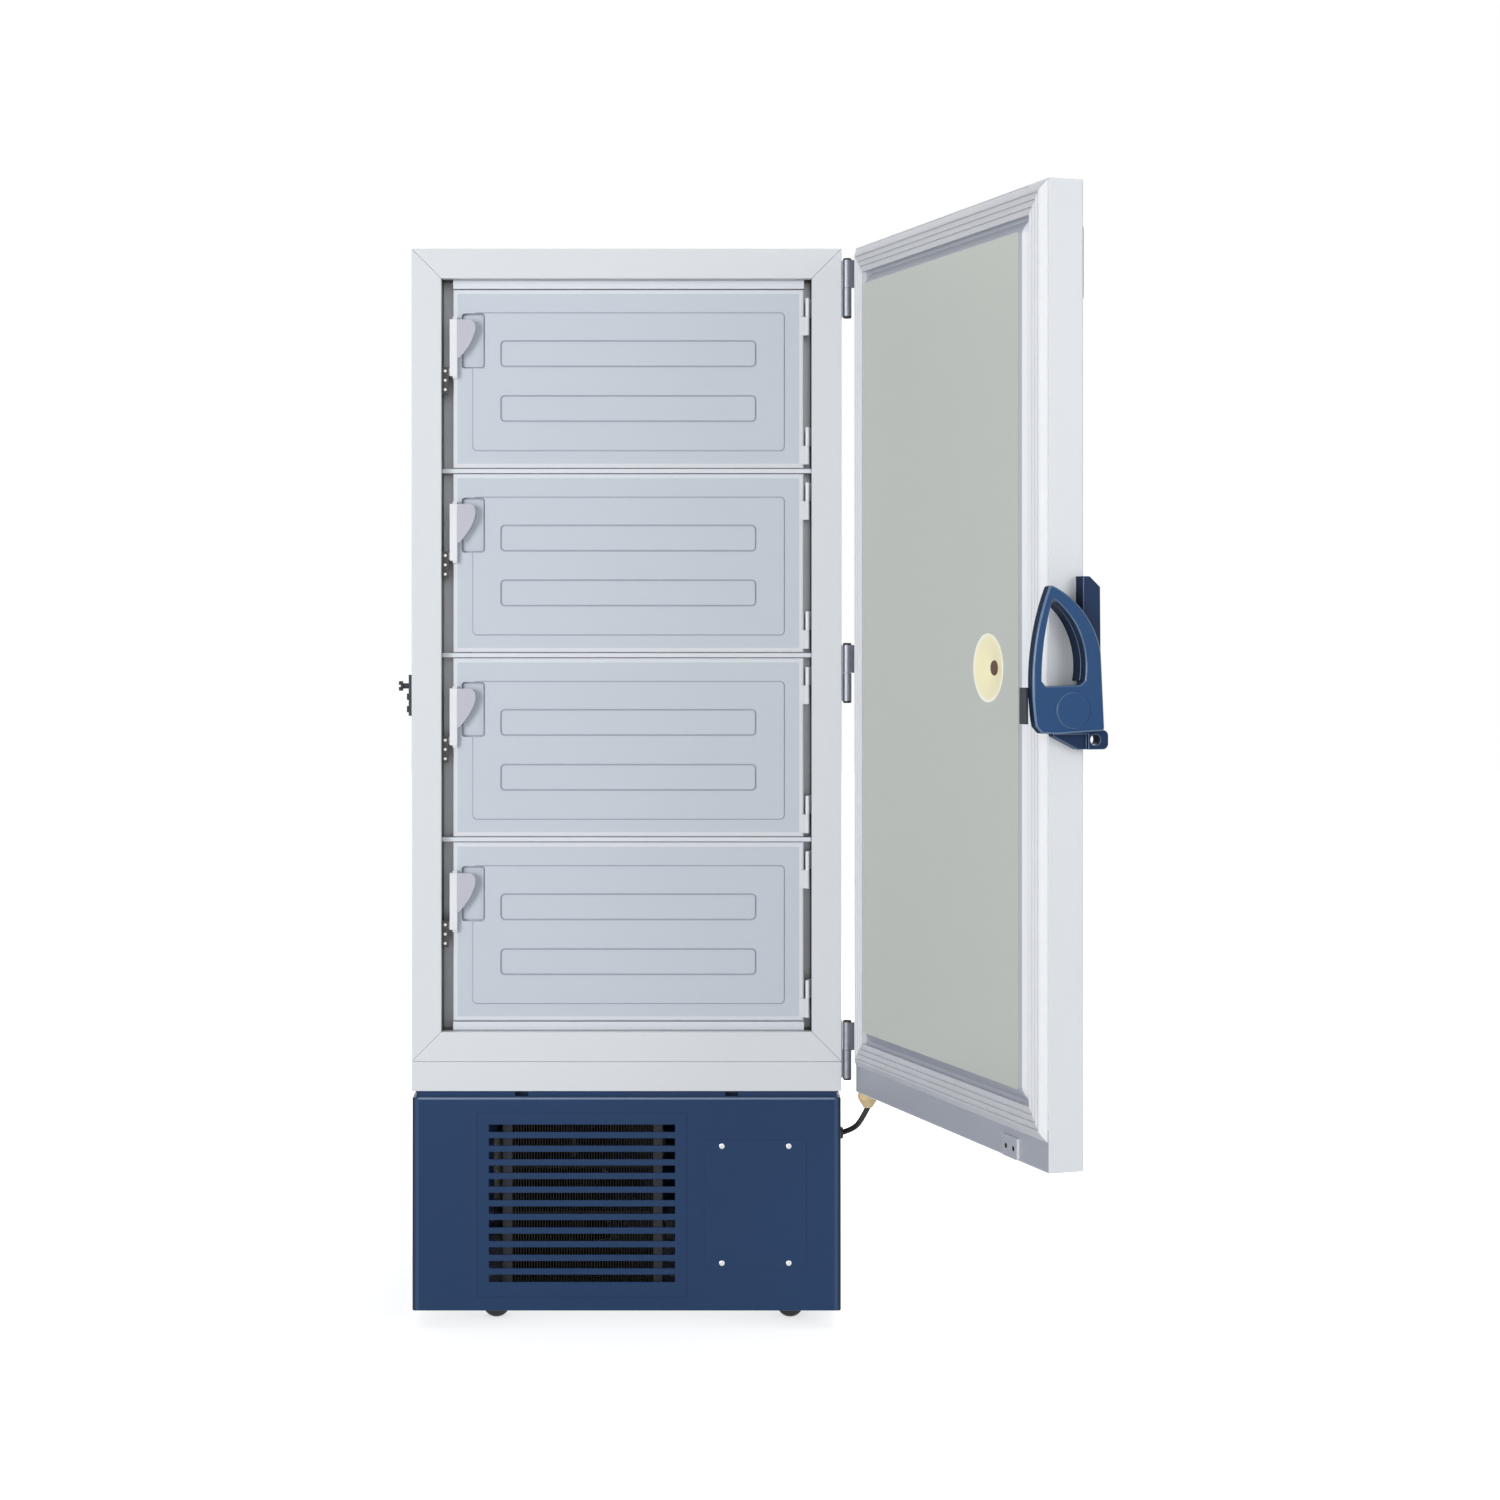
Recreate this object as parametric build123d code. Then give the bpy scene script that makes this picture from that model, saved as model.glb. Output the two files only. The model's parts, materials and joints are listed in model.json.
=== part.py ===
from build123d import *
import math
import os

os.makedirs("parts", exist_ok=True)

# Upright ultra low temperature freezer, in millimetres, +Z up, front towards -Y.
# The outer door is drawn shut and then swung to the angle it stands at.

# Cabinet and base
cabinet_width = 785.0
cabinet_depth = 750.0
total_height = 1972.0
ground_clearance = 33.0
base_height = 389.0
joint_height = 12.0
joint_inset = 8.0
joint_bar = 40.0
sheet = 1.2
seat_gap = 0.1
hairline = 0.4

# Front frame and mouth
frame_bar = 54.0
frame_depth = 20.0
rail_height = 54.0
step_depth = 66.0
step_width = 51.0
rear_wall = 110.0

# Inner doors, counted from the top
inner_door_count = 4
inner_left_gap = 20.0
inner_right_gap = 13.5
inner_top_gap = 17.5
inner_bottom_gap = 17.0
inner_door_gap = 10.0
inner_face = 22.0
inner_door_thickness = 40.0
seal_width = 10.0
seal_inset = 5.0
shelf_thickness = 3.0
divider_height = 7.6
divider_behind = 2.0
divider_flange = 44.0
end_bar_gap = 1.5
inner_edge_radius = 4.0

# Embossing of the inner doors
border_side = 35.0
border_top = 42.0
border_bottom = 31.0
emboss_height = 2.2
emboss_slope = 45.0
emboss_corner = 9.0
rib_side = 87.0
rib_top = 93.5
rib_height = 49.5
rib_pitch = 100.5
rib_groove = 3.0
rib_groove_depth = 2.2
pocket_left = 15.6
pocket_width = 43.0
pocket_top = 44.0
pocket_height = 101.0
pocket_depth = 8.0
pocket_corner = 6.0
pocket_groove = 3.0
pocket_groove_depth = 4.0

# Latches of the inner doors
latch_pivot_in = 4.5
latch_pivot_out = 6.0
latch_top = 55.5
latch_length = 104.5
latch_pin_radius = 2.0
latch_barrel_radius = 4.0
latch_lug = 4.0
latch_lug_root = 6.0
latch_strip_left = 10.0
latch_strip_right = 4.5
latch_strip_front = 4.0
latch_strip_back = 1.5
paddle_top = 56.0
paddle_edge = ((28.0, 0.0), (36.5, 9.0), (35.5, 25.0), (21.0, 54.0), (8.0, 70.5))
nose_reach = 14.0
nose_root = 8.0
nose_thick = 3.0
nose_top = 145.0
nose_height = 13.0
keeper_length = 49.0
keeper_rise = 2.0
keeper_overlap = 2.0
keeper_thick = 3.5
keeper_sheet = 2.0
keeper_back = 20.0

# Hinges of the inner doors
inner_hinge_out = 6.0
inner_hinge_front = 4.0
inner_knuckle_radius = 3.4
inner_pin_radius = 1.6
inner_knuckle_length = 68.0
inner_knuckle_margin = 16.5
inner_knuckle_low = 7.0
inner_pin_recess = 2.0
inner_leaf_root = 8.0
inner_leaf_front = 1.5
inner_leaf_back = 6.0
inner_tab_thick = 2.5
inner_tab_depth = 20.0

# Outer door
door_thickness = 60.0
door_gap = 10.0
door_open_angle = 108.0
gasket_edge = 3.0
gasket_drop = 6.0
gasket_width = 47.0
gasket_groove = 3.0
gasket_groove_depth = 2.5
gasket_groove_corner = 1.0
gasket_groove_shares = (0.32, 0.54, 0.76)
gasket_squeeze = 0.5
gasket_lip = 2.0
gasket_bevel = 12.0
gasket_seam = 0.2
door_edge_radius = 4.0
plug_gap = 6.0
plug_height = 16.5
plug_slope = 17.5
plug_foot_corner = 18.0
plug_top_corner = 6.0
field_sheet = 2.0
liner_sheet = 3.0

# Hinges of the outer door
hinge_side_out = 10.5
hinge_behind = 3.0
hinge_knuckle_radius = 8.0
hinge_pin_radius = 4.0
hinge_length = 102.0
hinge_from_top = 72.0
hinge_from_bottom = 75.0
hinge_middle_share = 0.495
hinge_leaf = 2.5
hinge_leaf_width = 42.0
hinge_leaf_start = 6.0
hinge_root_front = 1.0
hinge_root_back = 7.0
hinge_pin_recess = 3.0
door_leaf_start = 4.0
door_leaf_root = 8.0
door_root_in = 1.0
door_root_out = 6.0

# Fittings of the outer door
port_from_edge = 184.0
port_height = 1213.0
port_radius = 56.0
port_depth = 12.5
port_core_radius = 12.0
port_lip = 1.0
port_wall = 2.5
plate_from_edge = 130.5
plate_width = 54.0
plate_height = 36.0
plate_thick = 4.5
plate_hole_radius = 4.0
plate_corner = 4.0
gland_radius = 18.0
gland_tall = 27.0
gland_collar = 11.0
gland_wall = 3.0
gland_from_edge = 15.5
gland_from_face = 17.0

# Control panel on the front of the outer door
panel_edge = 3.5
panel_width = 236.0
panel_from_top = 70.0
panel_height = 116.0
panel_corner = 6.0
panel_thick = 1.2
button_drops = (23.6, 44.6, 74.0, 91.8)
button_radius = 6.5
button_from_edge = 12.0
button_well = 4.5
button_tall = 5.5
button_travel = 1.5
window_edge = 46.0
window_width = 160.0
window_height = 62.0
window_thick = 1.0
window_corner = 4.0

# Handle: points as distance back from the door's inner face and rise above the pivot
bracket_thick = 25.5
lever_thick = 18.5
layer_gap = 0.5
lever_pivot_back = 19.0
lever_pivot_height = 1150.0
lever_pin_radius = 9.0
lever_corner = 5.0
lever_edge_radius = 5.0
loop_corner = 2.0
loop_edge_radius = 3.0
pivot_cap_radius = 27.5
pivot_cap_thick = 2.5
bracket_front = 1.0
bracket_low = -61.0
eye_end = 89.0
eye_top = -31.0
eye_corner = 9.0
bracket_outline = (
    (46.0, 206.5), (57.0, 206.5), (75.0, 190.0), (77.0, eye_top), (eye_end, eye_top), (eye_end, bracket_low),
    (41.0, bracket_low), (-bracket_front, -40.0), (-bracket_front, 8.0), (6.0, 19.0), (31.0, 21.0),
    (48.0, 40.0), (50.0, 100.0), (46.0, 125.0),
)
bracket_limb = ((60.0, 45.0), (60.0, 95.0), (38.0, 145.0), (-10.0, 178.0))
bracket_foot = 36.0
bracket_foot_thick = 8.0
bracket_foot_low = -20.0
bracket_foot_high = 180.0
web_back = 55.0
web_top = -37.0
web_drop = 8.0
eye_back = 67.0
eye_rise = -46.0
eye_hole_radius = 8.5
lever_left = ((-43.0, -24.0), (-47.0, 78.0), (-20.0, 191.0))
lever_shoulder = ((-13.0, 191.0), (40.0, 150.0), (68.0, 88.0))
lever_sole = ((74.0, -32.0), (-5.0, -36.0), (-33.0, -35.0))
loop_left = ((-33.0, 45.0), (-27.5, 115.0), (-14.5, 170.0))
loop_right = ((-12.0, 170.0), (26.0, 128.0), (39.0, 45.0))
loop_sole = ((32.0, 39.0), (-26.0, 37.0))
hook_foot = -21.0
hook_root_low = 5.0
hook_root_start = -8.0
hook_root_gap = 4.0
hook_arm = 5.0
hook_thick = 7.0
hook_side_gap = 1.0
hook_pin_gap = 1.5
cheek_start = 49.5
cheek_thick = 4.0

# Striker on the left side of the cabinet
striker_behind = 25.0
striker_plate_thick = 6.0
striker_plate_width = 36.0
striker_drop = 31.0
striker_rise = 44.0
striker_pin_rise = 23.5
striker_neck_radius = 5.0
striker_head_radius = 9.0
striker_head_length = 7.0
striker_reach = 25.0
striker_slot = 4.0
striker_screw_rises = (3.6, -19.2)
striker_screw_radius = 6.0
striker_screw_height = 4.5

# Front of the base
fascia_depth = 28.0
fascia_edge_radius = 6.0
fascia_rim_radius = 2.0
side_inset = 1.0
grille_left = 119.5
grille_low = 25.0
grille_top = 28.0
grille_to_cover = 32.0
grille_thick = 4.0
grille_flange = 5.0
grille_corner = 3.0
slot_margin = 21.5
slot_height = 13.7
slot_pitch = 24.9
slot_border = 21.0
cover_right = 64.5
cover_width = 186.0
cover_low = 76.5
cover_top = 77.0
cover_thick = 1.0
cover_corner = 4.0
screw_in = 32.0
screw_down = 11.0
screw_radius = 5.5
screw_height = 2.0
strip_slot_at = 192.0
strip_slot_width = 24.0
strip_slot_depth = 20.0
strip_slot_margin = 2.0

# Inside the base
floor_height = 70.0
floor_thick = 3.0
post = 30.0
condenser_behind = 44.0
condenser_depth = 44.0
condenser_side = 41.0
condenser_end_plate = 2.0
fin_thick = 1.0
fin_count = 24
tube_radius = 5.0
fin_foot = 8.0
tube_rows = 4
tube_sides = 8
bend_radius = 4.5
bend_reach = 22.0
bend_corner = 14.0
shroud_thick = 3.0
fan_margin = 14.0
fan_gap = 6.0
fan_blade_count = 5
fan_blade_thick = 1.6
fan_blade_width = 44.0
fan_blade_root = 4.0
fan_tip_gap = 8.0
fan_pitch_angle = 30.0
fan_hub_radius = 24.0
fan_shaft_radius = 4.0
fan_shaft_length = 24.0
fan_depth = 26.0
motor_radius = 42.0
motor_length = 60.0
motor_bore = 22.0
motor_leg_width = 44.0
motor_leg_at = 16.0
motor_leg_thick = 4.0
motor_foot_width = 80.0
motor_foot_depth = 40.0
motor_foot_thick = 3.0
compressor_radius = 85.0
compressor_height = 215.0
compressor_dome = 40.0
compressor_foot = 15.0
compressor_foot_half = 60.0
compressor_foot_thick = 8.0
compressor_apart = 380.0
compressor_from_back = 230.0
box_width = 180.0
box_depth = 180.0
box_height = 220.0
box_from_post = 20.0
box_behind = 22.0
vent_width = 130.0
vent_height = 8.0
vent_pitch = 20.0
vent_count = 9
vent_rise = 40.0
side_vent_from_back = 90.0
rear_vent_from_side = 200.0
inlet_width = 48.0
inlet_height = 30.0
inlet_from_side = 90.0
inlet_rise = 40.0
inlet_depth = 20.0
inlet_flange = 5.0
inlet_flange_thick = 3.0
inlet_wall = 6.0

# Casters
caster_from_side = 119.5
caster_from_end = 97.0
caster_trail = 30.0
wheel_radius = 25.0
wheel_width = 22.0
axle_radius = 4.0
kingpin_radius = 6.0
caster_plate = 76.0
caster_plate_thick = 3.0
fork_thick = 3.0
fork_disc_radius = 24.0
fork_disc_thick = 7.0
fork_cheek = 16.0
fork_eye = 9.0
wheel_side_gap = 1.0
wheel_chamfer = 3.0
axle_end = 2.0

# Rear of the cabinet
spacer_depth = 25.0
spacer_width = 60.0
spacer_height = 40.0
spacer_from_end = 180.0
spacer_from_side = 130.0

# Door cable, from the gland to a grommet on the right side of the base
cable_radius = 5.0
cable_in_gland = 7.0
cable_lean = 11.0
cable_swing = 4.0
cable_drop = 24.0
cable_turn_out = 24.0
cable_turn_rise = 7.0
cable_turn_ahead = 5.0
cable_end_out = 2.2
cable_bend_share = 0.45
grommet_radius = 11.0
grommet_out = 6.0
grommet_edge = 2.0
grommet_behind = 34.0
grommet_height = 352.0

# Clearances
running_fit = 0.05
clearance = 0.3

# Positions that follow from the sizes above
half_width = cabinet_width / 2
base_high = ground_clearance + base_height
cabinet_low = base_high + joint_height
frame_low = cabinet_low + rail_height
mouth_half = half_width - frame_bar
mouth_low = frame_low + frame_bar
mouth_high = total_height - frame_bar
inside_half = mouth_half - step_width
inside_low = mouth_low + step_width
inside_high = mouth_high - step_width
inside_back = cabinet_depth - rear_wall
inner_left = -mouth_half + inner_left_gap
inner_right = mouth_half - inner_right_gap
inner_back = inner_face + inner_door_thickness
stack_high = mouth_high - inner_top_gap
stack_low = mouth_low + inner_bottom_gap
inner_door_pitch = (stack_high - stack_low + inner_door_gap) / inner_door_count
inner_door_height = inner_door_pitch - inner_door_gap
inner_tops = [stack_high - number * inner_door_pitch for number in range(inner_door_count)]
latch_x = inner_left + latch_pivot_in
latch_y = inner_face - latch_pivot_out
inner_hinge_x = inner_right + inner_hinge_out
inner_hinge_y = inner_face - inner_hinge_front
hinge_top = total_height - hinge_from_top
hinge_bottom = cabinet_low + hinge_from_bottom
hinge_heights = (hinge_top, hinge_bottom + hinge_middle_share * (hinge_top - hinge_bottom), hinge_bottom)
hinge_x = half_width + hinge_side_out
hinge_y = hinge_behind
door_inner = -door_gap
door_outer = -door_gap - door_thickness
lever_y = door_inner - lever_pivot_back
lever_out = bracket_thick + layer_gap
floor_top = floor_height + floor_thick
panel_high = total_height - panel_from_top
panel_low = panel_high - panel_height
button_heights = [panel_high - drop for drop in button_drops]
eye_height = lever_pivot_height + eye_rise
striker_low = lever_pivot_height - striker_drop
striker_high = lever_pivot_height + striker_rise
striker_pin_height = lever_pivot_height + striker_pin_rise
fascia_half = half_width - side_inset
wall_inside = fascia_half - sheet


def block(x_low, x_high, y_low, y_high, z_low, z_high):
    """A box between two corners."""
    middle = ((x_low + x_high) / 2, (y_low + y_high) / 2, (z_low + z_high) / 2)
    return Pos(*middle) * Box(x_high - x_low, y_high - y_low, z_high - z_low)


def outline(points):
    """A flat face with straight edges."""
    return make_face(Polyline(*points, close=True))


def slab_xz(face, y_low, y_high):
    """A face drawn in X and Z, made thick along Y."""
    return extrude(Plane.XZ.offset(-y_high) * face, amount=y_high - y_low)


def slab_yz(face, x_low, x_high):
    """A face drawn in Y and Z, made thick along X."""
    return extrude(Plane.YZ.offset(x_low) * face, amount=x_high - x_low)


def rod(start, end, radius):
    """A round bar from one point to another."""
    along = Vector(end) - Vector(start)
    base = Plane(origin=start, z_dir=along)
    return base * Cylinder(radius, along.length, align=(Align.CENTER, Align.CENTER, Align.MIN))


def rounded(x_low, x_high, z_low, z_high, radius):
    """A flat rectangle with round corners."""
    middle = ((x_low + x_high) / 2, (z_low + z_high) / 2)
    return Pos(*middle) * RectangleRounded(x_high - x_low, z_high - z_low, radius)


def groove_xz(x_low, x_high, z_low, z_high, radius, width, y_low, y_high):
    """A channel that follows a rounded rectangle on its inside."""
    outside = rounded(x_low, x_high, z_low, z_high, radius)
    inside = rounded(x_low + width, x_high - width, z_low + width, z_high - width, radius - width)
    return slab_xz(outside, y_low, y_high) - slab_xz(inside, y_low, y_high)


def mitred_frame(x_low, x_high, z_low, z_high, bar, y_low, y_high, seam):
    """Four bars with corners cut at 45 degrees."""
    outer = [(x_low, z_low), (x_high, z_low), (x_high, z_high), (x_low, z_high)]
    ways = [(1, 0), (0, 1), (-1, 0), (0, -1)]
    bars = []
    for side, (way_x, way_z) in enumerate(ways):
        start = outer[side]
        end = outer[(side + 1) % 4]
        step_in = (-way_z * bar, way_x * bar)
        corners = [
            (start[0] + way_x * seam / 2, start[1] + way_z * seam / 2),
            (end[0] - way_x * seam / 2, end[1] - way_z * seam / 2),
            (end[0] - way_x * (seam / 2 + bar) + step_in[0], end[1] - way_z * (seam / 2 + bar) + step_in[1]),
            (start[0] + way_x * (seam / 2 + bar) + step_in[0], start[1] + way_z * (seam / 2 + bar) + step_in[1]),
        ]
        bars.append(slab_xz(outline(corners), y_low, y_high))
    return bars


nodes = {}

# Front frame: four mitred bars round the mouth and a plain rail under them
frame_pieces = mitred_frame(
    -half_width, half_width, frame_low, total_height, frame_bar, 0, frame_depth, hairline
)
frame_pieces.append(block(-half_width, half_width, 0, frame_depth, cabinet_low, frame_low - hairline))
nodes["front_frame"] = Compound(frame_pieces)

# Outer casing: folded sheet round the sides, top, bottom and back
casing = block(-half_width, half_width, frame_depth, cabinet_depth, cabinet_low, total_height)
casing -= block(
    -half_width + sheet, half_width - sheet, frame_depth, cabinet_depth - sheet,
    cabinet_low + sheet, total_height - sheet,
)
nodes["outer_casing"] = casing

# Inner liner: a wide mouth for the inner doors and a narrower chamber behind it
mouth = block(-mouth_half, mouth_half, frame_depth, step_depth, mouth_low, mouth_high)
chamber = block(-inside_half, inside_half, step_depth, inside_back, inside_low, inside_high)
mouth_shell = block(
    -mouth_half - sheet, mouth_half + sheet, frame_depth, step_depth + sheet,
    mouth_low - sheet, mouth_high + sheet,
)
chamber_shell = block(
    -inside_half - sheet, inside_half + sheet, step_depth, inside_back + sheet,
    inside_low - sheet, inside_high + sheet,
)
liner_outside = mouth_shell + chamber_shell
nodes["inner_liner"] = liner_outside - mouth - chamber

# Foam between the casing and the liner
foam = block(
    -half_width + sheet, half_width - sheet, frame_depth, cabinet_depth - sheet,
    cabinet_low + sheet, total_height - sheet,
)
nodes["insulation_foam"] = foam - liner_outside

# Shelves with a flange that the inner doors shut against and a rib between the doors
shelf_pieces = []
for top in inner_tops[1:]:
    middle = top + inner_door_gap / 2
    shelf = block(
        -inside_half + clearance, inside_half - clearance, step_depth, inside_back - clearance,
        middle - shelf_thickness / 2, middle + shelf_thickness / 2,
    )
    shelf += block(
        -inside_half + clearance, inside_half - clearance, step_depth, step_depth + shelf_thickness,
        middle - divider_flange / 2, middle + divider_flange / 2,
    )
    shelf += block(
        -mouth_half + clearance, mouth_half - clearance, inner_face + divider_behind, step_depth,
        middle - divider_height / 2, middle + divider_height / 2,
    )
    shelf_pieces.append(shelf)

# Pale bars that close the mouth above the first inner door and below the last one
end_bar_top = (stack_high + end_bar_gap, mouth_high - clearance)
end_bar_bottom = (mouth_low + clearance, stack_low - end_bar_gap)
for low, high in (end_bar_top, end_bar_bottom):
    shelf_pieces.append(block(inner_left, inner_right, inner_face + divider_behind, step_depth, low, high))
nodes["shelves"] = Compound(shelf_pieces)

# Soft seals on the step and the shelf flanges, one frame behind each inner door
seal_pieces = []
for top in inner_tops:
    low = top - inner_door_height
    seal_pieces += mitred_frame(
        inner_left + seal_inset, inner_right - seal_inset, low + seal_inset, top - seal_inset,
        seal_width, inner_back + clearance, step_depth, 0,
    )
nodes["inner_door_seals"] = Compound(seal_pieces)

# Hinge brackets of the inner doors: upper half of each barrel, with the pin
barrel_half = inner_knuckle_length / 2
bracket_pieces = []
barrel_starts = []
for top in inner_tops:
    barrel_starts.append([
        top - inner_knuckle_margin - inner_knuckle_length,
        top - inner_door_height + inner_knuckle_low,
    ])
for starts in barrel_starts:
    for start in starts:
        centre = start + barrel_half
        foot = (inner_hinge_x, inner_hinge_y, centre + clearance)
        piece = rod(foot, (inner_hinge_x, inner_hinge_y, start + inner_knuckle_length), inner_knuckle_radius)
        tab_back = inner_hinge_y + inner_tab_depth
        piece += block(
            inner_hinge_x, inner_hinge_x + inner_tab_thick, inner_hinge_y, tab_back,
            centre + clearance, start + inner_knuckle_length,
        )
        piece += block(
            inner_hinge_x, mouth_half, tab_back - inner_tab_thick, tab_back,
            centre + clearance, start + inner_knuckle_length,
        )
        piece += rod((inner_hinge_x, inner_hinge_y, start + inner_pin_recess), foot, inner_pin_radius)
        bracket_pieces.append(piece)
nodes["inner_hinge_brackets"] = Compound(bracket_pieces)

# Keepers of the inner latches: angle plates on the left wall of the mouth
keeper_front = latch_y - clearance - keeper_thick
keeper_pieces = []
for top in inner_tops:
    keeper_high = top - nose_top + keeper_rise
    lip_end = latch_x - nose_reach + keeper_overlap
    keeper = block(
        -mouth_half, -mouth_half + keeper_sheet, keeper_front, inner_face + keeper_back,
        keeper_high - keeper_length, keeper_high,
    )
    keeper += block(
        -mouth_half, lip_end, keeper_front, latch_y - clearance, keeper_high - keeper_length, keeper_high
    )
    keeper_pieces.append(keeper)
nodes["latch_keepers"] = Compound(keeper_pieces)

# Inner doors with a raised border, ribs pressed in as grooves, latch lugs and half barrels
border_face = inner_face - emboss_height
for number, top in enumerate(inner_tops):
    low = top - inner_door_height
    panel = block(inner_left, inner_right, inner_face, inner_back, low, top)
    panel = fillet(panel.faces().sort_by(Axis.Y)[0].edges(), inner_edge_radius)
    border = rounded(
        inner_left + border_side, inner_right - border_side,
        low + border_bottom, top - border_top, emboss_corner,
    )
    panel += extrude(Plane.XZ.offset(-inner_face) * border, amount=emboss_height, taper=emboss_slope)
    for rib in range(2):
        rib_high = top - rib_top - rib * rib_pitch
        rib_low = rib_high - rib_height
        panel -= groove_xz(
            inner_left + rib_side, inner_right - rib_side, rib_low, rib_high, emboss_corner, rib_groove,
            border_face, border_face + rib_groove_depth,
        )
    pocket_x_low = inner_left + pocket_left
    pocket_x_high = pocket_x_low + pocket_width
    pocket_high = top - pocket_top
    pocket_low = pocket_high - pocket_height
    pocket_floor = inner_face + pocket_depth
    pocket = rounded(pocket_x_low, pocket_x_high, pocket_low, pocket_high, pocket_corner)
    panel -= slab_xz(pocket, border_face, pocket_floor)
    panel -= groove_xz(
        pocket_x_low, pocket_x_high, pocket_low, pocket_high, pocket_corner, pocket_groove,
        pocket_floor, pocket_floor + pocket_groove_depth,
    )
    pin_low = top - latch_top - latch_length
    pin_high = top - latch_top
    for lug_low in (pin_low - latch_lug, pin_high):
        panel += block(
            inner_left, latch_x + latch_barrel_radius, latch_y - latch_barrel_radius, inner_face + latch_lug_root,
            lug_low, lug_low + latch_lug,
        )
    panel += rod((latch_x, latch_y, pin_low), (latch_x, latch_y, pin_high), latch_pin_radius)
    for start in barrel_starts[number]:
        centre = start + barrel_half
        foot = (inner_hinge_x, inner_hinge_y, start)
        barrel = rod(foot, (inner_hinge_x, inner_hinge_y, centre), inner_knuckle_radius)
        barrel += block(
            inner_right - inner_leaf_root, inner_hinge_x, inner_hinge_y + inner_leaf_front,
            inner_face + inner_leaf_back, start, centre,
        )
        barrel -= rod(foot, (inner_hinge_x, inner_hinge_y, centre), inner_pin_radius + running_fit)
        panel += barrel
    nodes[f"inner_door_{number + 1}"] = panel

# Latches of the inner doors: a turning strip with a drop-shaped paddle and a nose
for number, top in enumerate(inner_tops):
    strip_low = top - latch_top - latch_length + clearance
    strip_high = top - latch_top - clearance
    strip = block(
        latch_x - latch_strip_left, latch_x + latch_strip_right, latch_y - latch_strip_front,
        latch_y + latch_strip_back, strip_low, strip_high,
    )
    strip += rod((latch_x, latch_y, strip_low), (latch_x, latch_y, strip_high), latch_barrel_radius)
    nose_high = top - nose_top
    strip += block(
        latch_x - nose_reach, latch_x - nose_root, latch_y, latch_y + nose_thick,
        nose_high - nose_height, nose_high,
    )
    edge_points = [(latch_x + across, top - paddle_top - down) for across, down in paddle_edge]
    paddle_high = edge_points[0][1]
    paddle_low = edge_points[-1][1]
    rest = Polyline(edge_points[-1], (latch_x, paddle_low), (latch_x, paddle_high), edge_points[0])
    strip += slab_xz(make_face([Spline(*edge_points), rest]), latch_y - latch_strip_front, latch_y)
    strip -= rod((latch_x, latch_y, strip_low), (latch_x, latch_y, strip_high), latch_pin_radius + running_fit)
    nodes[f"inner_latch_{number + 1}"] = strip

# Cabinet leaves of the outer hinges: lower half of each barrel, with the pin
leaf_pieces = []
for height in hinge_heights:
    low = height - hinge_length / 2
    high = height + hinge_length / 2
    leaf = block(
        half_width, half_width + hinge_leaf, hinge_y + hinge_leaf_start, hinge_y + hinge_leaf_width, low, high
    )
    leaf += block(
        half_width, hinge_x, hinge_y + hinge_root_front, hinge_y + hinge_root_back, low, height - clearance
    )
    leaf += rod((hinge_x, hinge_y, low), (hinge_x, hinge_y, height - clearance), hinge_knuckle_radius)
    pin_foot = (hinge_x, hinge_y, height - clearance)
    leaf += rod(pin_foot, (hinge_x, hinge_y, high - hinge_pin_recess), hinge_pin_radius)
    leaf_pieces.append(leaf)
nodes["cabinet_hinge_leaves"] = Compound(leaf_pieces)

# Striker: plate on the left side with a slotted pin and two screws
striker_left = -half_width - striker_plate_thick
striker_tip = -half_width - striker_reach
striker = block(
    striker_left, -half_width, striker_behind - striker_plate_width / 2,
    striker_behind + striker_plate_width / 2, striker_low, striker_high,
)
neck_end = (striker_tip + striker_head_length, striker_behind, striker_pin_height)
striker += rod((striker_left, striker_behind, striker_pin_height), neck_end, striker_neck_radius)
head = rod(neck_end, (striker_tip, striker_behind, striker_pin_height), striker_head_radius)
head -= block(
    striker_tip, striker_tip + striker_head_length / 2, striker_behind - 2 * striker_head_radius,
    striker_behind + 2 * striker_head_radius,
    striker_pin_height - striker_slot / 2, striker_pin_height + striker_slot / 2,
)
striker += head
for rise in striker_screw_rises:
    height = lever_pivot_height + rise
    striker += rod(
        (striker_left, striker_behind, height),
        (striker_left - striker_screw_height, striker_behind, height), striker_screw_radius,
    )
nodes["striker"] = striker

# Rear spacers that keep the cabinet off a wall
spacer_pieces = []
for side in (-1, 1):
    for height in (cabinet_low + spacer_from_end, total_height - spacer_from_end):
        across = side * (half_width - spacer_from_side)
        spacer_pieces.append(block(
            across - spacer_width / 2, across + spacer_width / 2, cabinet_depth, cabinet_depth + spacer_depth,
            height - spacer_height / 2, height + spacer_height / 2,
        ))
nodes["rear_spacers"] = Compound(spacer_pieces)

# Base frame: floor pan and four posts that carry the cabinet
base_frame = block(
    -wall_inside + clearance, wall_inside - clearance, fascia_edge_radius + clearance,
    cabinet_depth - sheet - clearance, floor_height, floor_top,
)
post_right = wall_inside - clearance
for side in (-1, 1):
    post_x = sorted((side * post_right, side * (post_right - post)))
    for post_front in (fascia_depth + clearance, cabinet_depth - sheet - clearance - post):
        base_frame += block(*post_x, post_front, post_front + post, floor_top, base_high)
base_frame_pieces = [base_frame]

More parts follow.
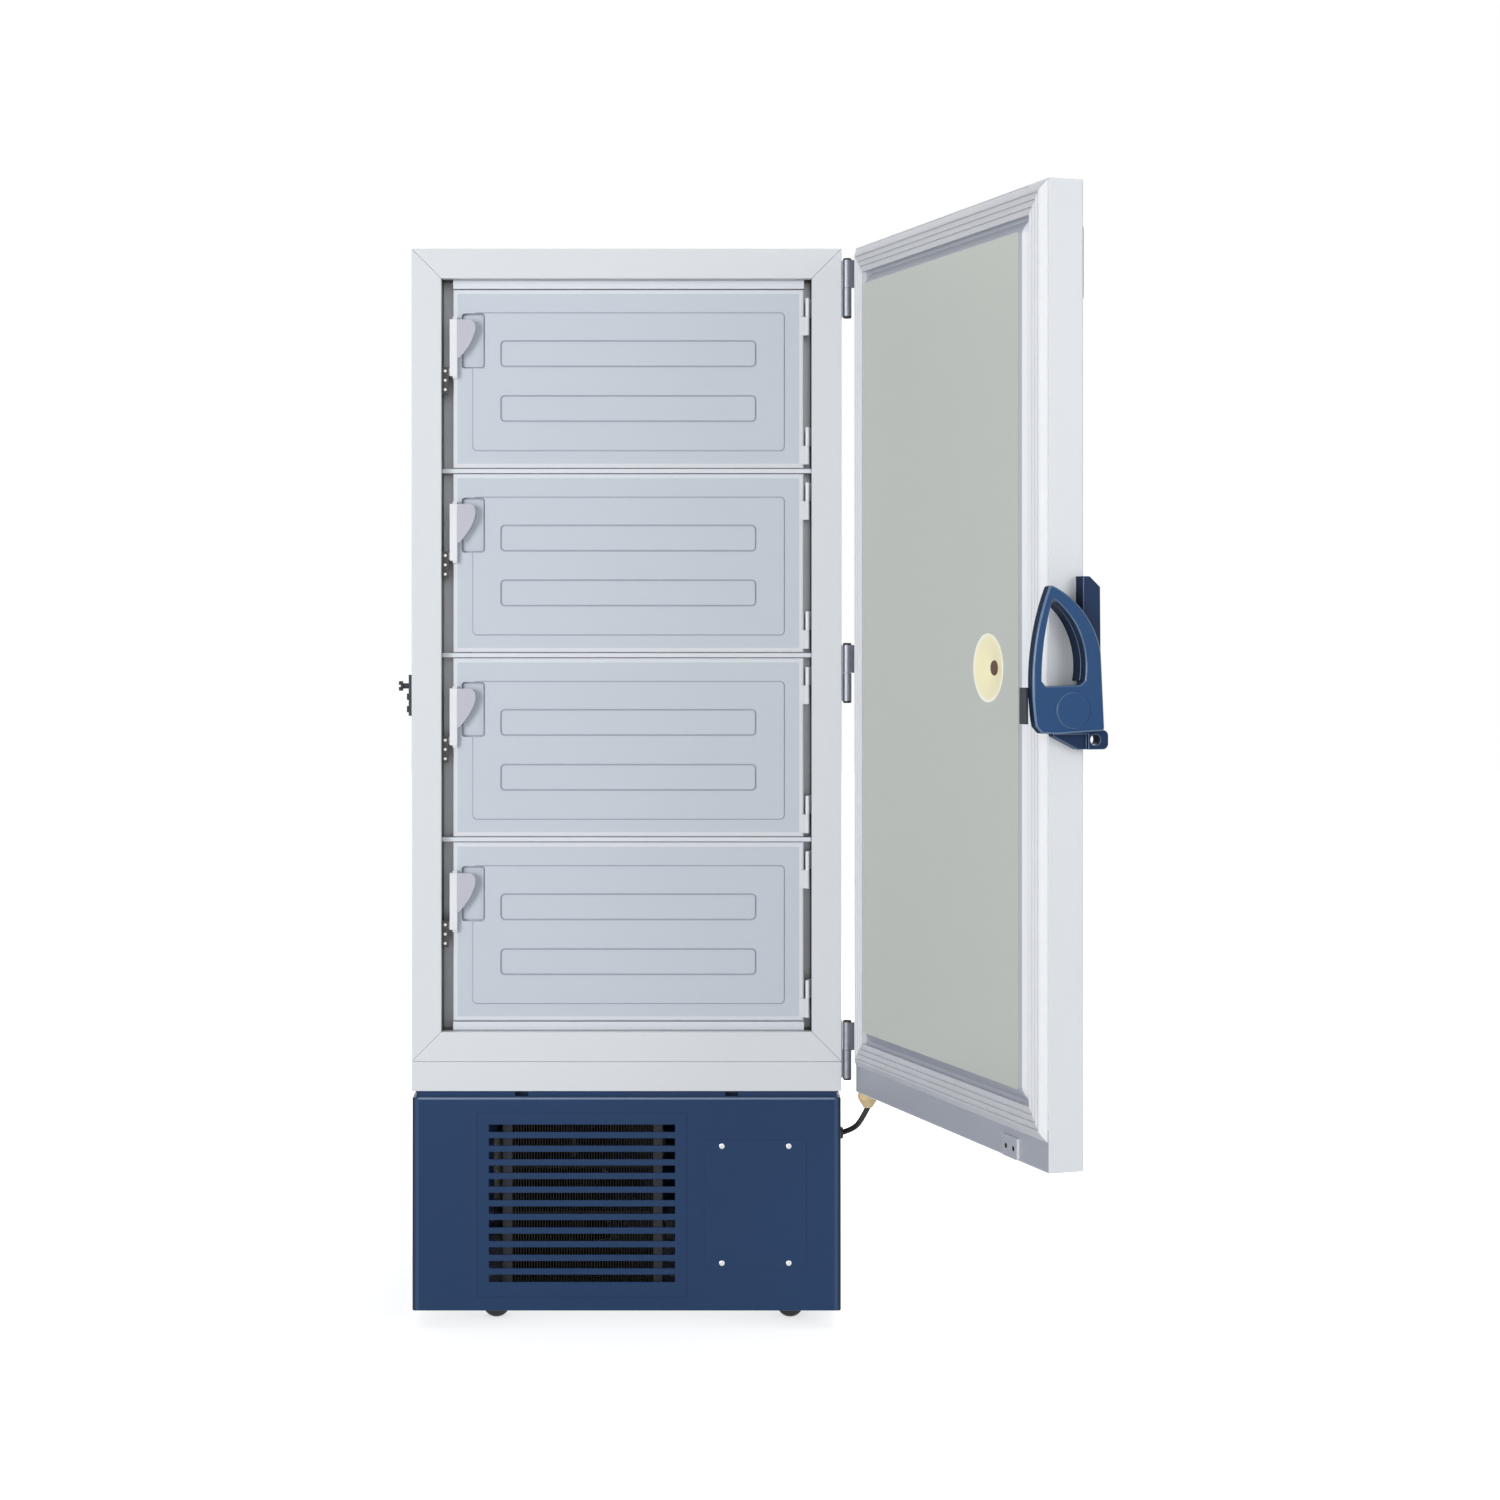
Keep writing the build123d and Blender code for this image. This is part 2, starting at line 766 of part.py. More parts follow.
# Joint strip between base and cabinet: four bars, the front one with two dark slots
joint_half = half_width - joint_inset
front_strip = block(-joint_half, joint_half, joint_inset, joint_inset + joint_bar, base_high, cabinet_low)
for side in (-1, 1):
    slot_x = side * strip_slot_at
    front_strip -= block(
        slot_x - strip_slot_width / 2, slot_x + strip_slot_width / 2, joint_inset, joint_inset + strip_slot_depth,
        base_high + strip_slot_margin, cabinet_low - strip_slot_margin,
    )
joint_back = cabinet_depth - joint_inset
strip_pieces = [front_strip]
strip_pieces.append(
    block(-joint_half, joint_half, joint_back - joint_bar, joint_back, base_high, cabinet_low)
)
for side in (-1, 1):
    strip_x = sorted((side * joint_half, side * (joint_half - joint_bar)))
    strip_pieces.append(block(
        *strip_x, joint_inset + joint_bar + seat_gap, joint_back - joint_bar - seat_gap, base_high, cabinet_low
    ))
nodes["base_joint_strip"] = Compound(strip_pieces)

# Front fascia: a tray with round vertical edges and an opening for the grille
fascia = block(-fascia_half, fascia_half, 0, fascia_depth, ground_clearance, base_high)
front_uprights = fascia.edges().filter_by(Axis.Z).group_by(Axis.Y)[0]
fascia = fillet(front_uprights, fascia_edge_radius)
fascia = fillet(fascia.faces().sort_by(Axis.Y)[0].edges().filter_by(Axis.X), fascia_rim_radius)
cavity = block(
    -wall_inside, wall_inside, sheet, fascia_depth, ground_clearance + sheet, base_high - sheet
)
cavity_uprights = cavity.edges().filter_by(Axis.Z).group_by(Axis.Y)[0]
fascia -= fillet(cavity_uprights, fascia_edge_radius - sheet)
cover_x_high = half_width - cover_right
cover_x_low = cover_x_high - cover_width
grille_x_low = -half_width + grille_left
grille_x_high = cover_x_low - grille_to_cover
grille_z_low = ground_clearance + grille_low
grille_z_high = base_high - grille_top
fascia -= block(
    grille_x_low - clearance, grille_x_high + clearance, 0, sheet,
    grille_z_low - clearance, grille_z_high + clearance,
)
nodes["front_fascia"] = fascia

# Grille: slotted plate set into the fascia, held by a flange behind it
grille_face = rounded(grille_x_low, grille_x_high, grille_z_low, grille_z_high, grille_corner)
grille = slab_xz(grille_face, 0, grille_thick)
grille += block(
    grille_x_low - grille_flange, grille_x_high + grille_flange, sheet, grille_thick,
    grille_z_low - grille_flange, grille_z_high + grille_flange,
)
slot_room = grille_z_high - grille_z_low - 2 * slot_border
slot_count = int((slot_room + slot_pitch - slot_height) / slot_pitch)
for row in range(slot_count):
    slot_high = grille_z_high - slot_border - row * slot_pitch
    grille -= block(
        grille_x_low + slot_margin, grille_x_high - slot_margin, 0, grille_thick,
        slot_high - slot_height, slot_high,
    )
nodes["intake_grille"] = grille

# Access cover on the fascia, with four screws
cover_z_low = ground_clearance + cover_low
cover_z_high = base_high - cover_top
nodes["access_cover"] = slab_xz(
    rounded(cover_x_low, cover_x_high, cover_z_low, cover_z_high, cover_corner), -cover_thick, 0
)
screw_pieces = []
for screw_x in (cover_x_low + screw_in, cover_x_high - screw_in):
    for screw_z in (cover_z_low + screw_down, cover_z_high - screw_down):
        screw = rod(
            (screw_x, -cover_thick, screw_z), (screw_x, -cover_thick - screw_height, screw_z), screw_radius
        )
        screw_pieces.append(screw)
nodes["cover_screws"] = Compound(screw_pieces)

# Base covers: two sides and a rear panel, with vent slots
cover_pieces = []
side_front = fascia_depth + clearance
vent_back = cabinet_depth - side_vent_from_back
for side in (-1, 1):
    panel_x = sorted((side * wall_inside, side * fascia_half))
    panel = block(*panel_x, side_front, cabinet_depth, ground_clearance, base_high)
    for row in range(vent_count):
        vent_z = floor_top + vent_rise + row * vent_pitch
        panel -= block(
            *panel_x, vent_back - vent_width, vent_back, vent_z, vent_z + vent_height
        )
    cover_pieces.append(panel)
rear_half = wall_inside - seat_gap
rear = block(-rear_half, rear_half, cabinet_depth - sheet, cabinet_depth, ground_clearance, base_high)
for side in (-1, 1):
    for row in range(vent_count):
        vent_z = floor_top + vent_rise + row * vent_pitch
        vent_x = side * (half_width - rear_vent_from_side)
        rear -= block(
            vent_x - vent_width / 2, vent_x + vent_width / 2, cabinet_depth - sheet, cabinet_depth,
            vent_z, vent_z + vent_height,
        )
inlet_x = half_width - inlet_from_side
inlet_z = floor_top + inlet_rise
rear -= block(
    inlet_x - inlet_width / 2 - clearance, inlet_x + inlet_width / 2 + clearance,
    cabinet_depth - sheet, cabinet_depth,
    inlet_z - inlet_height / 2 - clearance, inlet_z + inlet_height / 2 + clearance,
)
cover_pieces.append(rear)
nodes["base_covers"] = Compound(cover_pieces)

# Mains inlet in the rear panel: flange outside, body inside, socket open to the rear
inlet_half = inlet_width / 2
inlet_tall = inlet_height / 2
inlet_back = cabinet_depth + inlet_flange_thick
inlet = block(
    inlet_x - inlet_half, inlet_x + inlet_half, cabinet_depth - inlet_depth, inlet_back,
    inlet_z - inlet_tall, inlet_z + inlet_tall,
)
inlet += block(
    inlet_x - inlet_half - inlet_flange, inlet_x + inlet_half + inlet_flange, cabinet_depth, inlet_back,
    inlet_z - inlet_tall - inlet_flange, inlet_z + inlet_tall + inlet_flange,
)
inlet -= block(
    inlet_x - inlet_half + inlet_wall, inlet_x + inlet_half - inlet_wall,
    cabinet_depth - inlet_depth + inlet_wall, inlet_back,
    inlet_z - inlet_tall + inlet_wall, inlet_z + inlet_tall - inlet_wall,
)

# Condenser behind the grille: fins on tubes between two end plates
condenser_x_low = grille_x_low + slot_margin + condenser_side
condenser_x_high = grille_x_high - slot_margin - condenser_side
condenser_z_high = base_high - joint_height
condenser_back = condenser_behind + condenser_depth
condenser_mid_y = condenser_behind + condenser_depth / 2
fin_pitch = (condenser_x_high - condenser_x_low) / (fin_count - 1)
condenser_pieces = []
for number in range(fin_count):
    fin_x = condenser_x_low + number * fin_pitch
    edge = number in (0, fin_count - 1)
    half = condenser_end_plate / 2 if edge else fin_thick / 2
    fin_low = floor_top if edge else floor_top + fin_foot
    condenser_pieces.append(block(
        fin_x - half, fin_x + half, condenser_behind, condenser_back, fin_low, condenser_z_high
    ))
tube_pitch = (condenser_z_high - floor_top) / tube_rows
tube_heights = [floor_top + tube_pitch * (row + 0.5) for row in range(tube_rows)]
for height in tube_heights:
    tube_face = Pos(condenser_mid_y, height) * RegularPolygon(tube_radius, tube_sides)
    condenser_pieces.append(slab_yz(
        tube_face, condenser_x_low - condenser_end_plate / 2, condenser_x_high + condenser_end_plate / 2
    ))
condenser = condenser_pieces[0].fuse(*condenser_pieces[1:])

# Copper bends that join the tube ends at both sides of the condenser
bend_pieces = []
for row in range(tube_rows - 1):
    at_right = row % 2 == 0
    bend_right = condenser_x_high + condenser_end_plate / 2
    bend_left = condenser_x_low - condenser_end_plate / 2
    bend_x = bend_right if at_right else bend_left
    out = 1 if at_right else -1
    bend_low = (bend_x, condenser_mid_y, tube_heights[row])
    bend_high = (bend_x, condenser_mid_y, tube_heights[row + 1])
    reach = bend_x + out * bend_reach
    path = FilletPolyline(
        bend_low, (reach, condenser_mid_y, tube_heights[row]),
        (reach, condenser_mid_y, tube_heights[row + 1]), bend_high, radius=bend_corner,
    )
    section = Plane(origin=bend_low, z_dir=(out, 0, 0)) * RegularPolygon(bend_radius, tube_sides)
    bend_pieces.append(sweep(section, path))
nodes["condenser"] = Compound([condenser] + bend_pieces)

# Fan shroud on the back of the condenser
fan_x = (condenser_x_low + condenser_x_high) / 2
fan_z = (floor_top + condenser_z_high) / 2
fan_opening = min(condenser_x_high - condenser_x_low, condenser_z_high - floor_top) / 2 - fan_margin
shroud_back = condenser_back + shroud_thick
shroud = block(
    condenser_x_low - condenser_end_plate / 2, condenser_x_high + condenser_end_plate / 2,
    condenser_back, shroud_back, floor_top, condenser_z_high,
)
shroud -= rod((fan_x, condenser_back, fan_z), (fan_x, shroud_back, fan_z), fan_opening)
nodes["fan_shroud"] = shroud

# Fan rotor: hub with turned blades on a shaft
fan_front = shroud_back + fan_gap
fan_back = fan_front + fan_depth
fan_mid = (fan_front + fan_back) / 2
rotor = rod((fan_x, fan_front, fan_z), (fan_x, fan_back, fan_z), fan_hub_radius)
for number in range(fan_blade_count):
    blade_inner = fan_hub_radius - fan_blade_root
    blade_outer = fan_opening - fan_tip_gap
    blade = Rot(fan_pitch_angle, 0, 0) * Box(blade_outer - blade_inner, fan_blade_thick, fan_blade_width)
    blade = Pos((blade_inner + blade_outer) / 2, 0, 0) * blade
    turn = Rot(0, number * 360 / fan_blade_count, 0)
    rotor += Pos(fan_x, fan_mid, fan_z) * turn * blade
rotor += rod((fan_x, fan_back, fan_z), (fan_x, fan_back + fan_shaft_length, fan_z), fan_shaft_radius)
nodes["fan_rotor"] = rotor

# Fan motor on a leg that stands on the floor pan
motor_front = fan_back + fan_gap
motor_back = motor_front + motor_length
motor = rod((fan_x, motor_front, fan_z), (fan_x, motor_back, fan_z), motor_radius)
leg_front = motor_front + motor_leg_at
motor += block(
    fan_x - motor_leg_width / 2, fan_x + motor_leg_width / 2,
    leg_front, leg_front + motor_leg_thick, floor_top, fan_z,
)
motor += block(
    fan_x - motor_foot_width / 2, fan_x + motor_foot_width / 2, motor_front, motor_front + motor_foot_depth,
    floor_top, floor_top + motor_foot_thick,
)
motor -= rod(
    (fan_x, motor_front, fan_z), (fan_x, motor_front + motor_bore, fan_z), fan_shaft_radius + running_fit
)
nodes["fan_motor"] = motor

# Two compressors of the cascade, each a domed can on a foot plate
compressor_pieces = []
for side in (-1, 1):
    can_x = side * compressor_apart / 2
    can_y = cabinet_depth - compressor_from_back
    can = rod((can_x, can_y, floor_top), (can_x, can_y, floor_top + compressor_height), compressor_radius)
    can = fillet(can.edges().group_by(Axis.Z)[-1], compressor_dome)
    can += block(
        can_x - compressor_radius - compressor_foot, can_x + compressor_radius + compressor_foot,
        can_y - compressor_foot_half, can_y + compressor_foot_half, floor_top, floor_top + compressor_foot_thick,
    )
    compressor_pieces.append(can)
nodes["compressors"] = Compound(compressor_pieces)

# Power and control box behind the access cover
box_x_high = wall_inside - post - box_from_post
box_front = fascia_depth + box_behind
nodes["control_box"] = block(
    box_x_high - box_width, box_x_high, box_front, box_front + box_depth,
    floor_top, floor_top + box_height,
)

# Casters: plate with kingpin, swivelling fork with axle, wheel
fork_top = floor_height - caster_plate_thick - clearance
plate_pieces = []
caster_spots = []
for caster_y in (caster_from_end, cabinet_depth - caster_from_end):
    for side in (-1, 1):
        caster_spots.append((side * (half_width - caster_from_side), caster_y))
for number, (swivel_x, swivel_y) in enumerate(caster_spots):
    plate = block(
        swivel_x - caster_plate / 2, swivel_x + caster_plate / 2,
        swivel_y - caster_plate / 2, swivel_y + caster_plate / 2,
        floor_height - caster_plate_thick, floor_height,
    )
    plate += rod(
        (swivel_x, swivel_y, fork_top - fork_disc_thick), (swivel_x, swivel_y, floor_height), kingpin_radius
    )
    plate_pieces.append(plate)
    axle_x = swivel_x + caster_trail
    cheek_gap = wheel_width / 2 + wheel_side_gap
    cheek_out = cheek_gap + fork_thick
    fork = rod((swivel_x, swivel_y, fork_top - fork_disc_thick), (swivel_x, swivel_y, fork_top), fork_disc_radius)
    fork -= rod(
        (swivel_x, swivel_y, fork_top - fork_disc_thick), (swivel_x, swivel_y, fork_top),
        kingpin_radius + running_fit,
    )
    cheek = outline([
        (swivel_x - fork_cheek, fork_top), (swivel_x + fork_cheek, fork_top),
        (axle_x + fork_eye, wheel_radius + fork_eye / 2), (axle_x + fork_eye / 2, wheel_radius - fork_eye),
        (axle_x - fork_eye / 2, wheel_radius - fork_eye), (swivel_x - fork_cheek, fork_top - fork_disc_thick),
    ])
    for cheek_low in (swivel_y - cheek_out, swivel_y + cheek_gap):
        fork += slab_xz(cheek, cheek_low, cheek_low + fork_thick)
    fork += rod(
        (axle_x, swivel_y - cheek_out - axle_end, wheel_radius),
        (axle_x, swivel_y + cheek_out + axle_end, wheel_radius), axle_radius,
    )
    nodes[f"caster_fork_{number + 1}"] = fork
    wheel_start = (axle_x, swivel_y - wheel_width / 2, wheel_radius)
    wheel_end = (axle_x, swivel_y + wheel_width / 2, wheel_radius)
    wheel = rod(wheel_start, wheel_end, wheel_radius)
    wheel = chamfer(wheel.edges().filter_by(GeomType.CIRCLE), wheel_chamfer)
    wheel -= rod(wheel_start, wheel_end, axle_radius + running_fit)
    nodes[f"caster_wheel_{number + 1}"] = wheel
nodes["base_frame"] = Compound(base_frame_pieces + plate_pieces)

# Grommet where the door cable enters the right side of the base
grommet_from = (fascia_half, grommet_behind, grommet_height)
grommet_to = (fascia_half + grommet_out, grommet_behind, grommet_height)
grommet = rod(grommet_from, grommet_to, grommet_radius)
grommet = chamfer(grommet.edges().group_by(Axis.X)[-1], grommet_edge)

# Outer door, drawn shut: folded skin, foam, liner with a raised plug, field sheet, gasket
door = {}


def door_slab(inset, y_low, y_high, edge_radius):
    """A full-size slab of the door, with round edges towards its front."""
    slab = block(
        -half_width + inset, half_width - inset, y_low, y_high, cabinet_low + inset, total_height - inset
    )
    return fillet(slab.edges().filter_by(Axis.Z).group_by(Axis.Y)[0], edge_radius)


def plug_shape(inset, y_low, y_high):
    """The sloping plug that reaches into the mouth, drawn in by an inset."""
    foot_half = plug_half - inset
    top_half = foot_half - plug_slope
    foot = rounded(-foot_half, foot_half, plug_low + inset, plug_high - inset, plug_foot_corner)
    top = rounded(
        -top_half, top_half, plug_low + inset + plug_slope, plug_high - inset - plug_slope, plug_top_corner
    )
    return loft([Plane.XZ.offset(-y_low) * foot, Plane.XZ.offset(-y_high) * top])


gasket_x = half_width - gasket_edge
gasket_low = frame_low - gasket_drop
gasket_top = total_height - gasket_edge
plug_half = gasket_x - gasket_width - plug_gap
plug_low = gasket_low + gasket_width + plug_gap
plug_high = gasket_top - gasket_width - plug_gap
plug_face = door_inner + plug_height
liner_back = door_inner - liner_sheet
inner_radius = door_edge_radius - sheet
skin = door_slab(0, door_outer, door_inner, door_edge_radius)
door["door_skin"] = skin - door_slab(sheet, door_outer + sheet, door_inner, inner_radius)
foam_plug = plug_shape(liner_sheet, liner_back, plug_face - field_sheet - liner_sheet)
door["door_insulation"] = door_slab(sheet, door_outer + sheet, liner_back, inner_radius) + foam_plug
door_liner = block(
    -half_width + sheet, half_width - sheet, liner_back, door_inner, cabinet_low + sheet, total_height - sheet
)
door["door_liner"] = door_liner + plug_shape(0, door_inner, plug_face - field_sheet) - foam_plug
field_half = plug_half - plug_slope - clearance
field_low = plug_low + plug_slope + clearance
field_high = plug_high - plug_slope - clearance
port_x = -half_width + port_from_edge
field_outline = rounded(-field_half, field_half, field_low, field_high, plug_top_corner)
door["door_field"] = slab_xz(field_outline, plug_face - field_sheet, plug_face)

# Gasket: four welded bars with a bevelled outer side and two grooves
gasket_face = door_inner + door_gap - gasket_squeeze
gasket_bars = mitred_frame(
    -gasket_x, gasket_x, gasket_low, gasket_top, gasket_width, door_inner, gasket_face, gasket_seam
)
lip_face = door_inner + gasket_lip
bevelled = loft([
    Plane.XZ.offset(-lip_face) * rounded(-gasket_x, gasket_x, gasket_low, gasket_top, gasket_groove_corner),
    Plane.XZ.offset(-gasket_face) * rounded(
        -gasket_x + gasket_bevel, gasket_x - gasket_bevel, gasket_low + gasket_bevel, gasket_top - gasket_bevel,
        gasket_groove_corner,
    ),
])
bevelled += block(-gasket_x, gasket_x, door_inner, lip_face, gasket_low, gasket_top)
gasket_bars = [bar & bevelled for bar in gasket_bars]
for groove_share in gasket_groove_shares:
    inset = gasket_width * groove_share
    groove = groove_xz(
        -gasket_x + inset, gasket_x - inset, gasket_low + inset, gasket_top - inset,
        gasket_groove + gasket_groove_corner, gasket_groove, gasket_face - gasket_groove_depth, gasket_face,
    )
    gasket_bars = [bar - groove for bar in gasket_bars]
door["door_gasket"] = Compound(gasket_bars)

# Door leaves of the outer hinges: upper half of each barrel
leaf_pieces = []
for height in hinge_heights:
    low = height - hinge_length / 2
    high = height + hinge_length / 2
    leaf = block(
        half_width, half_width + hinge_leaf, door_inner - door_leaf_start - hinge_leaf_width,
        door_inner - door_leaf_start, low, high,
    )
    leaf += block(
        half_width + door_root_in, half_width + door_root_out, door_inner - door_leaf_root, hinge_y,
        height + clearance, high,
    )
    leaf += rod((hinge_x, hinge_y, height + clearance), (hinge_x, hinge_y, high), hinge_knuckle_radius)
    leaf -= rod((hinge_x, hinge_y, height), (hinge_x, hinge_y, high), hinge_pin_radius + running_fit)
    leaf_pieces.append(leaf)
door["door_hinge_leaves"] = Compound(leaf_pieces)

# Relief port: cream dish sunk into the door, with a core at its bottom
port_front = plug_face + port_lip
port_floor = port_front - port_depth
port_back = port_floor - port_wall
port = rod((port_x, port_back, port_height), (port_x, port_front, port_height), port_radius)
dish_base = Plane(origin=(port_x, port_floor, port_height), z_dir=(0, 1, 0))
dish_foot = port_core_radius + port_lip
dish_mouth = port_radius - port_wall
port -= dish_base * Cone(dish_foot, dish_mouth, port_depth, align=(Align.CENTER, Align.CENTER, Align.MIN))
port += dish_base * Cylinder(port_core_radius, port_wall, align=(Align.CENTER, Align.CENTER, Align.MIN))
door["relief_port"] = port
port_hole = rod((port_x, port_back, port_height), (port_x, port_front, port_height), port_radius + clearance)
for name in ("door_insulation", "door_liner", "door_field"):
    door[name] -= port_hole

# Small plate with two holes on the lower band
plate_x = -half_width + plate_from_edge
plate_z = cabinet_low + plate_height / 2
plate = slab_xz(
    rounded(
        plate_x - plate_width / 2, plate_x + plate_width / 2, cabinet_low + sheet, cabinet_low + plate_height,
        plate_corner,
    ),
    door_inner, door_inner + plate_thick,
)
for side in (-1, 1):
    hole_x = plate_x + side * plate_width / 4
    plate -= rod(
        (hole_x, door_inner, plate_z), (hole_x, door_inner + plate_thick, plate_z), plate_hole_radius
    )
door["sensor_plate"] = plate

# Cable gland: rounded boss under the hinge corner of the door
gland_x = half_width - gland_from_edge
gland_y = door_inner - gland_from_face
gland_end = cabinet_low - gland_tall
gland_shoulder = cabinet_low - gland_collar
gland = rod((gland_x, gland_y, cabinet_low), (gland_x, gland_y, gland_shoulder), gland_radius)
gland += Pos(gland_x, gland_y, (gland_shoulder + gland_end) / 2) * Cone(
    cable_radius + gland_wall, gland_radius, gland_shoulder - gland_end
)

# Control panel: bezel with four key wells, display window
panel_x_low = -half_width + panel_edge
panel_front = door_outer - panel_thick
bezel = slab_xz(
    rounded(panel_x_low, panel_x_low + panel_width, panel_low, panel_high, panel_corner), panel_front, door_outer
)
button_x = -half_width + button_from_edge
well_floor = door_outer + button_well
wells = [
    rod((button_x, panel_front, height), (button_x, well_floor, height), button_radius + clearance)
    for height in button_heights
]
door["control_bezel"] = bezel
for name in ("control_bezel", "door_skin", "door_insulation"):
    for well in wells:
        door[name] -= well
window_x_low = panel_x_low + window_edge
window_mid = (panel_low + panel_high) / 2
door["display_window"] = slab_xz(
    rounded(
        window_x_low, window_x_low + window_width,
        window_mid - window_height / 2, window_mid + window_height / 2, window_corner,
    ),
    panel_front - window_thick, panel_front,
)
for number, height in enumerate(button_heights):
    button_back = well_floor - button_travel - clearance
    door[f"panel_button_{number + 1}"] = rod(
        (button_x, button_back, height), (button_x, button_back - button_tall, height), button_radius
    )


def handle_layer(face, out_low, out_high):
    """A handle profile, given as distance back and height, at a distance out of the free edge."""
    return slab_yz(face, -half_width - out_high, -half_width - out_low)


def spot(distance, rise):
    """A handle point from its distance back from the door's inner face and its rise above the pivot."""
    return (door_inner - distance, lever_pivot_height + rise)


# Fixed bracket: upright bar, body round the pivot, limb behind the lever, padlock eye and a foot
loop_left_points = [spot(*point) for point in loop_left]
loop_right_points = [spot(*point) for point in loop_right]
loop_sole_points = [spot(*point) for point in loop_sole]
bracket_face = outline([spot(*point) for point in bracket_outline])
bracket_face = fillet(bracket_face.vertices().sort_by(Axis.X)[:2], eye_corner)
limb_points = [spot(*point) for point in bracket_limb]
limb_face = make_face([
    ThreePointArc(*loop_right_points), Polyline(loop_right_points[-1], *limb_points, loop_right_points[0])
])
bracket = handle_layer(bracket_face, 0, bracket_thick) + handle_layer(limb_face, 0, bracket_thick)
web_spot = spot(web_back, web_top)
bracket_end = spot(-bracket_front, bracket_low)
bracket -= block(
    -half_width - bracket_thick, -half_width - bracket_thick + web_drop,
    web_spot[0], bracket_end[0], bracket_end[1], web_spot[1],
)
bracket += block(
    -half_width, -half_width + bracket_foot, door_outer - bracket_foot_thick, door_outer,
    lever_pivot_height + bracket_foot_low, lever_pivot_height + bracket_foot_high,
)
lever_face_out = lever_out + lever_thick
pivot_start = (-half_width - bracket_thick, lever_y, lever_pivot_height)
pivot_end = (-half_width - lever_face_out + clearance, lever_y, lever_pivot_height)
bracket += rod(pivot_start, pivot_end, lever_pin_radius)
eye_y = spot(eye_back, eye_rise)[0]
bracket -= rod(
    (-half_width, eye_y, eye_height), (-half_width - bracket_thick, eye_y, eye_height), eye_hole_radius
)
door["handle_bracket"] = bracket

# Pull lever with a finger loop and a pivot cap
left_points = [spot(*point) for point in lever_left]
shoulder_points = [spot(*point) for point in lever_shoulder]
sole_points = [spot(*point) for point in lever_sole]
lever_face = make_face([
    ThreePointArc(*left_points), Line(left_points[-1], shoulder_points[0]), ThreePointArc(*shoulder_points),
    Polyline(shoulder_points[-1], *sole_points, left_points[0]),
])
lever_face = fillet(lever_face.vertices(), lever_corner)
loop_face = make_face([
    ThreePointArc(*loop_left_points), Line(loop_left_points[-1], loop_right_points[0]),
    ThreePointArc(*loop_right_points),
    Polyline(loop_right_points[-1], *loop_sole_points, loop_left_points[0]),
])
loop_face = fillet(loop_face.vertices(), loop_corner)
lever = handle_layer(lever_face - loop_face, lever_out, lever_face_out)
lever = fillet(lever.faces().sort_by(Axis.X)[0].outer_wire().edges(), lever_edge_radius)
lever = fillet(lever.faces().sort_by(Axis.X)[0].inner_wires()[0].edges(), loop_edge_radius)
cap_start = (-half_width - lever_face_out, lever_y, lever_pivot_height)
cap_end = (-half_width - lever_face_out - pivot_cap_thick, lever_y, lever_pivot_height)
lever -= rod(pivot_start, cap_start, lever_pin_radius + running_fit)
lever += rod(cap_start, cap_end, pivot_cap_radius)
door["handle_lever"] = lever

# Dark hook on the back of the lever: its inside follows a circle round the pivot past the pin
hook_low_out = striker_plate_thick + hook_side_gap
hook_high_out = striker_reach - striker_head_length - hook_side_gap
hook_under = striker_pin_rise + striker_neck_radius + hook_pin_gap
hook_top = hook_under + hook_arm
pin_distance = math.hypot(striker_behind - lever_y, striker_pin_rise)
hook_radius = pin_distance + striker_neck_radius + hook_pin_gap
post_radius = pin_distance + striker_head_radius + hook_pin_gap
hook_back = lever_y + hook_radius + hook_thick
root_start = door_inner - hook_root_start
root_end = striker_behind - striker_head_radius - hook_root_gap


def hook_spot(y, rise):
    """A point of the hook from its Y and its rise above the pivot."""
    return (y, lever_pivot_height + rise)


def round_pivot(radius, rise):
    """The point of a circle round the pivot at a rise above it."""
    return hook_spot(lever_y + math.sqrt(radius ** 2 - rise ** 2), rise)


hook_inside = ThreePointArc(
    round_pivot(hook_radius, hook_under), round_pivot(hook_radius, 0), round_pivot(hook_radius, hook_foot)
)
hook_rest = Polyline(
    round_pivot(hook_radius, hook_foot), hook_spot(hook_back, hook_foot), hook_spot(hook_back, hook_top),
    hook_spot(root_start, hook_top), hook_spot(root_start, hook_root_low), hook_spot(root_end, hook_root_low),
    hook_spot(root_end, hook_under), round_pivot(hook_radius, hook_under),
)
hook = handle_layer(make_face([hook_inside, hook_rest]), hook_low_out, hook_high_out)
hook += block(
    -half_width - lever_out, -half_width - hook_high_out, root_start, root_end,
    lever_pivot_height + hook_root_low, lever_pivot_height + hook_top,
)

# Cheek of the hook: a plate beside the lever, on a post outside the striker's head
post_inside = ThreePointArc(
    round_pivot(post_radius, hook_top), round_pivot(post_radius, 0), round_pivot(post_radius, hook_foot)
)
post_rest = Polyline(
    round_pivot(post_radius, hook_foot), hook_spot(hook_back, hook_foot), hook_spot(hook_back, hook_top),
    round_pivot(post_radius, hook_top),
)
hook += handle_layer(make_face([post_inside, post_rest]), hook_high_out, lever_out)
hook += block(
    -half_width - lever_out - cheek_thick, -half_width - lever_out, door_inner + cheek_start, hook_back,
    lever_pivot_height + hook_foot, lever_pivot_height + hook_top,
)
door["latch_hook"] = hook

# The door and all it carries, swung to the angle it stands at
swing = Pos(hinge_x, hinge_y, 0) * Rot(0, 0, door_open_angle) * Pos(-hinge_x, -hinge_y, 0)
for name, shape in door.items():
    nodes[name] = swing * shape

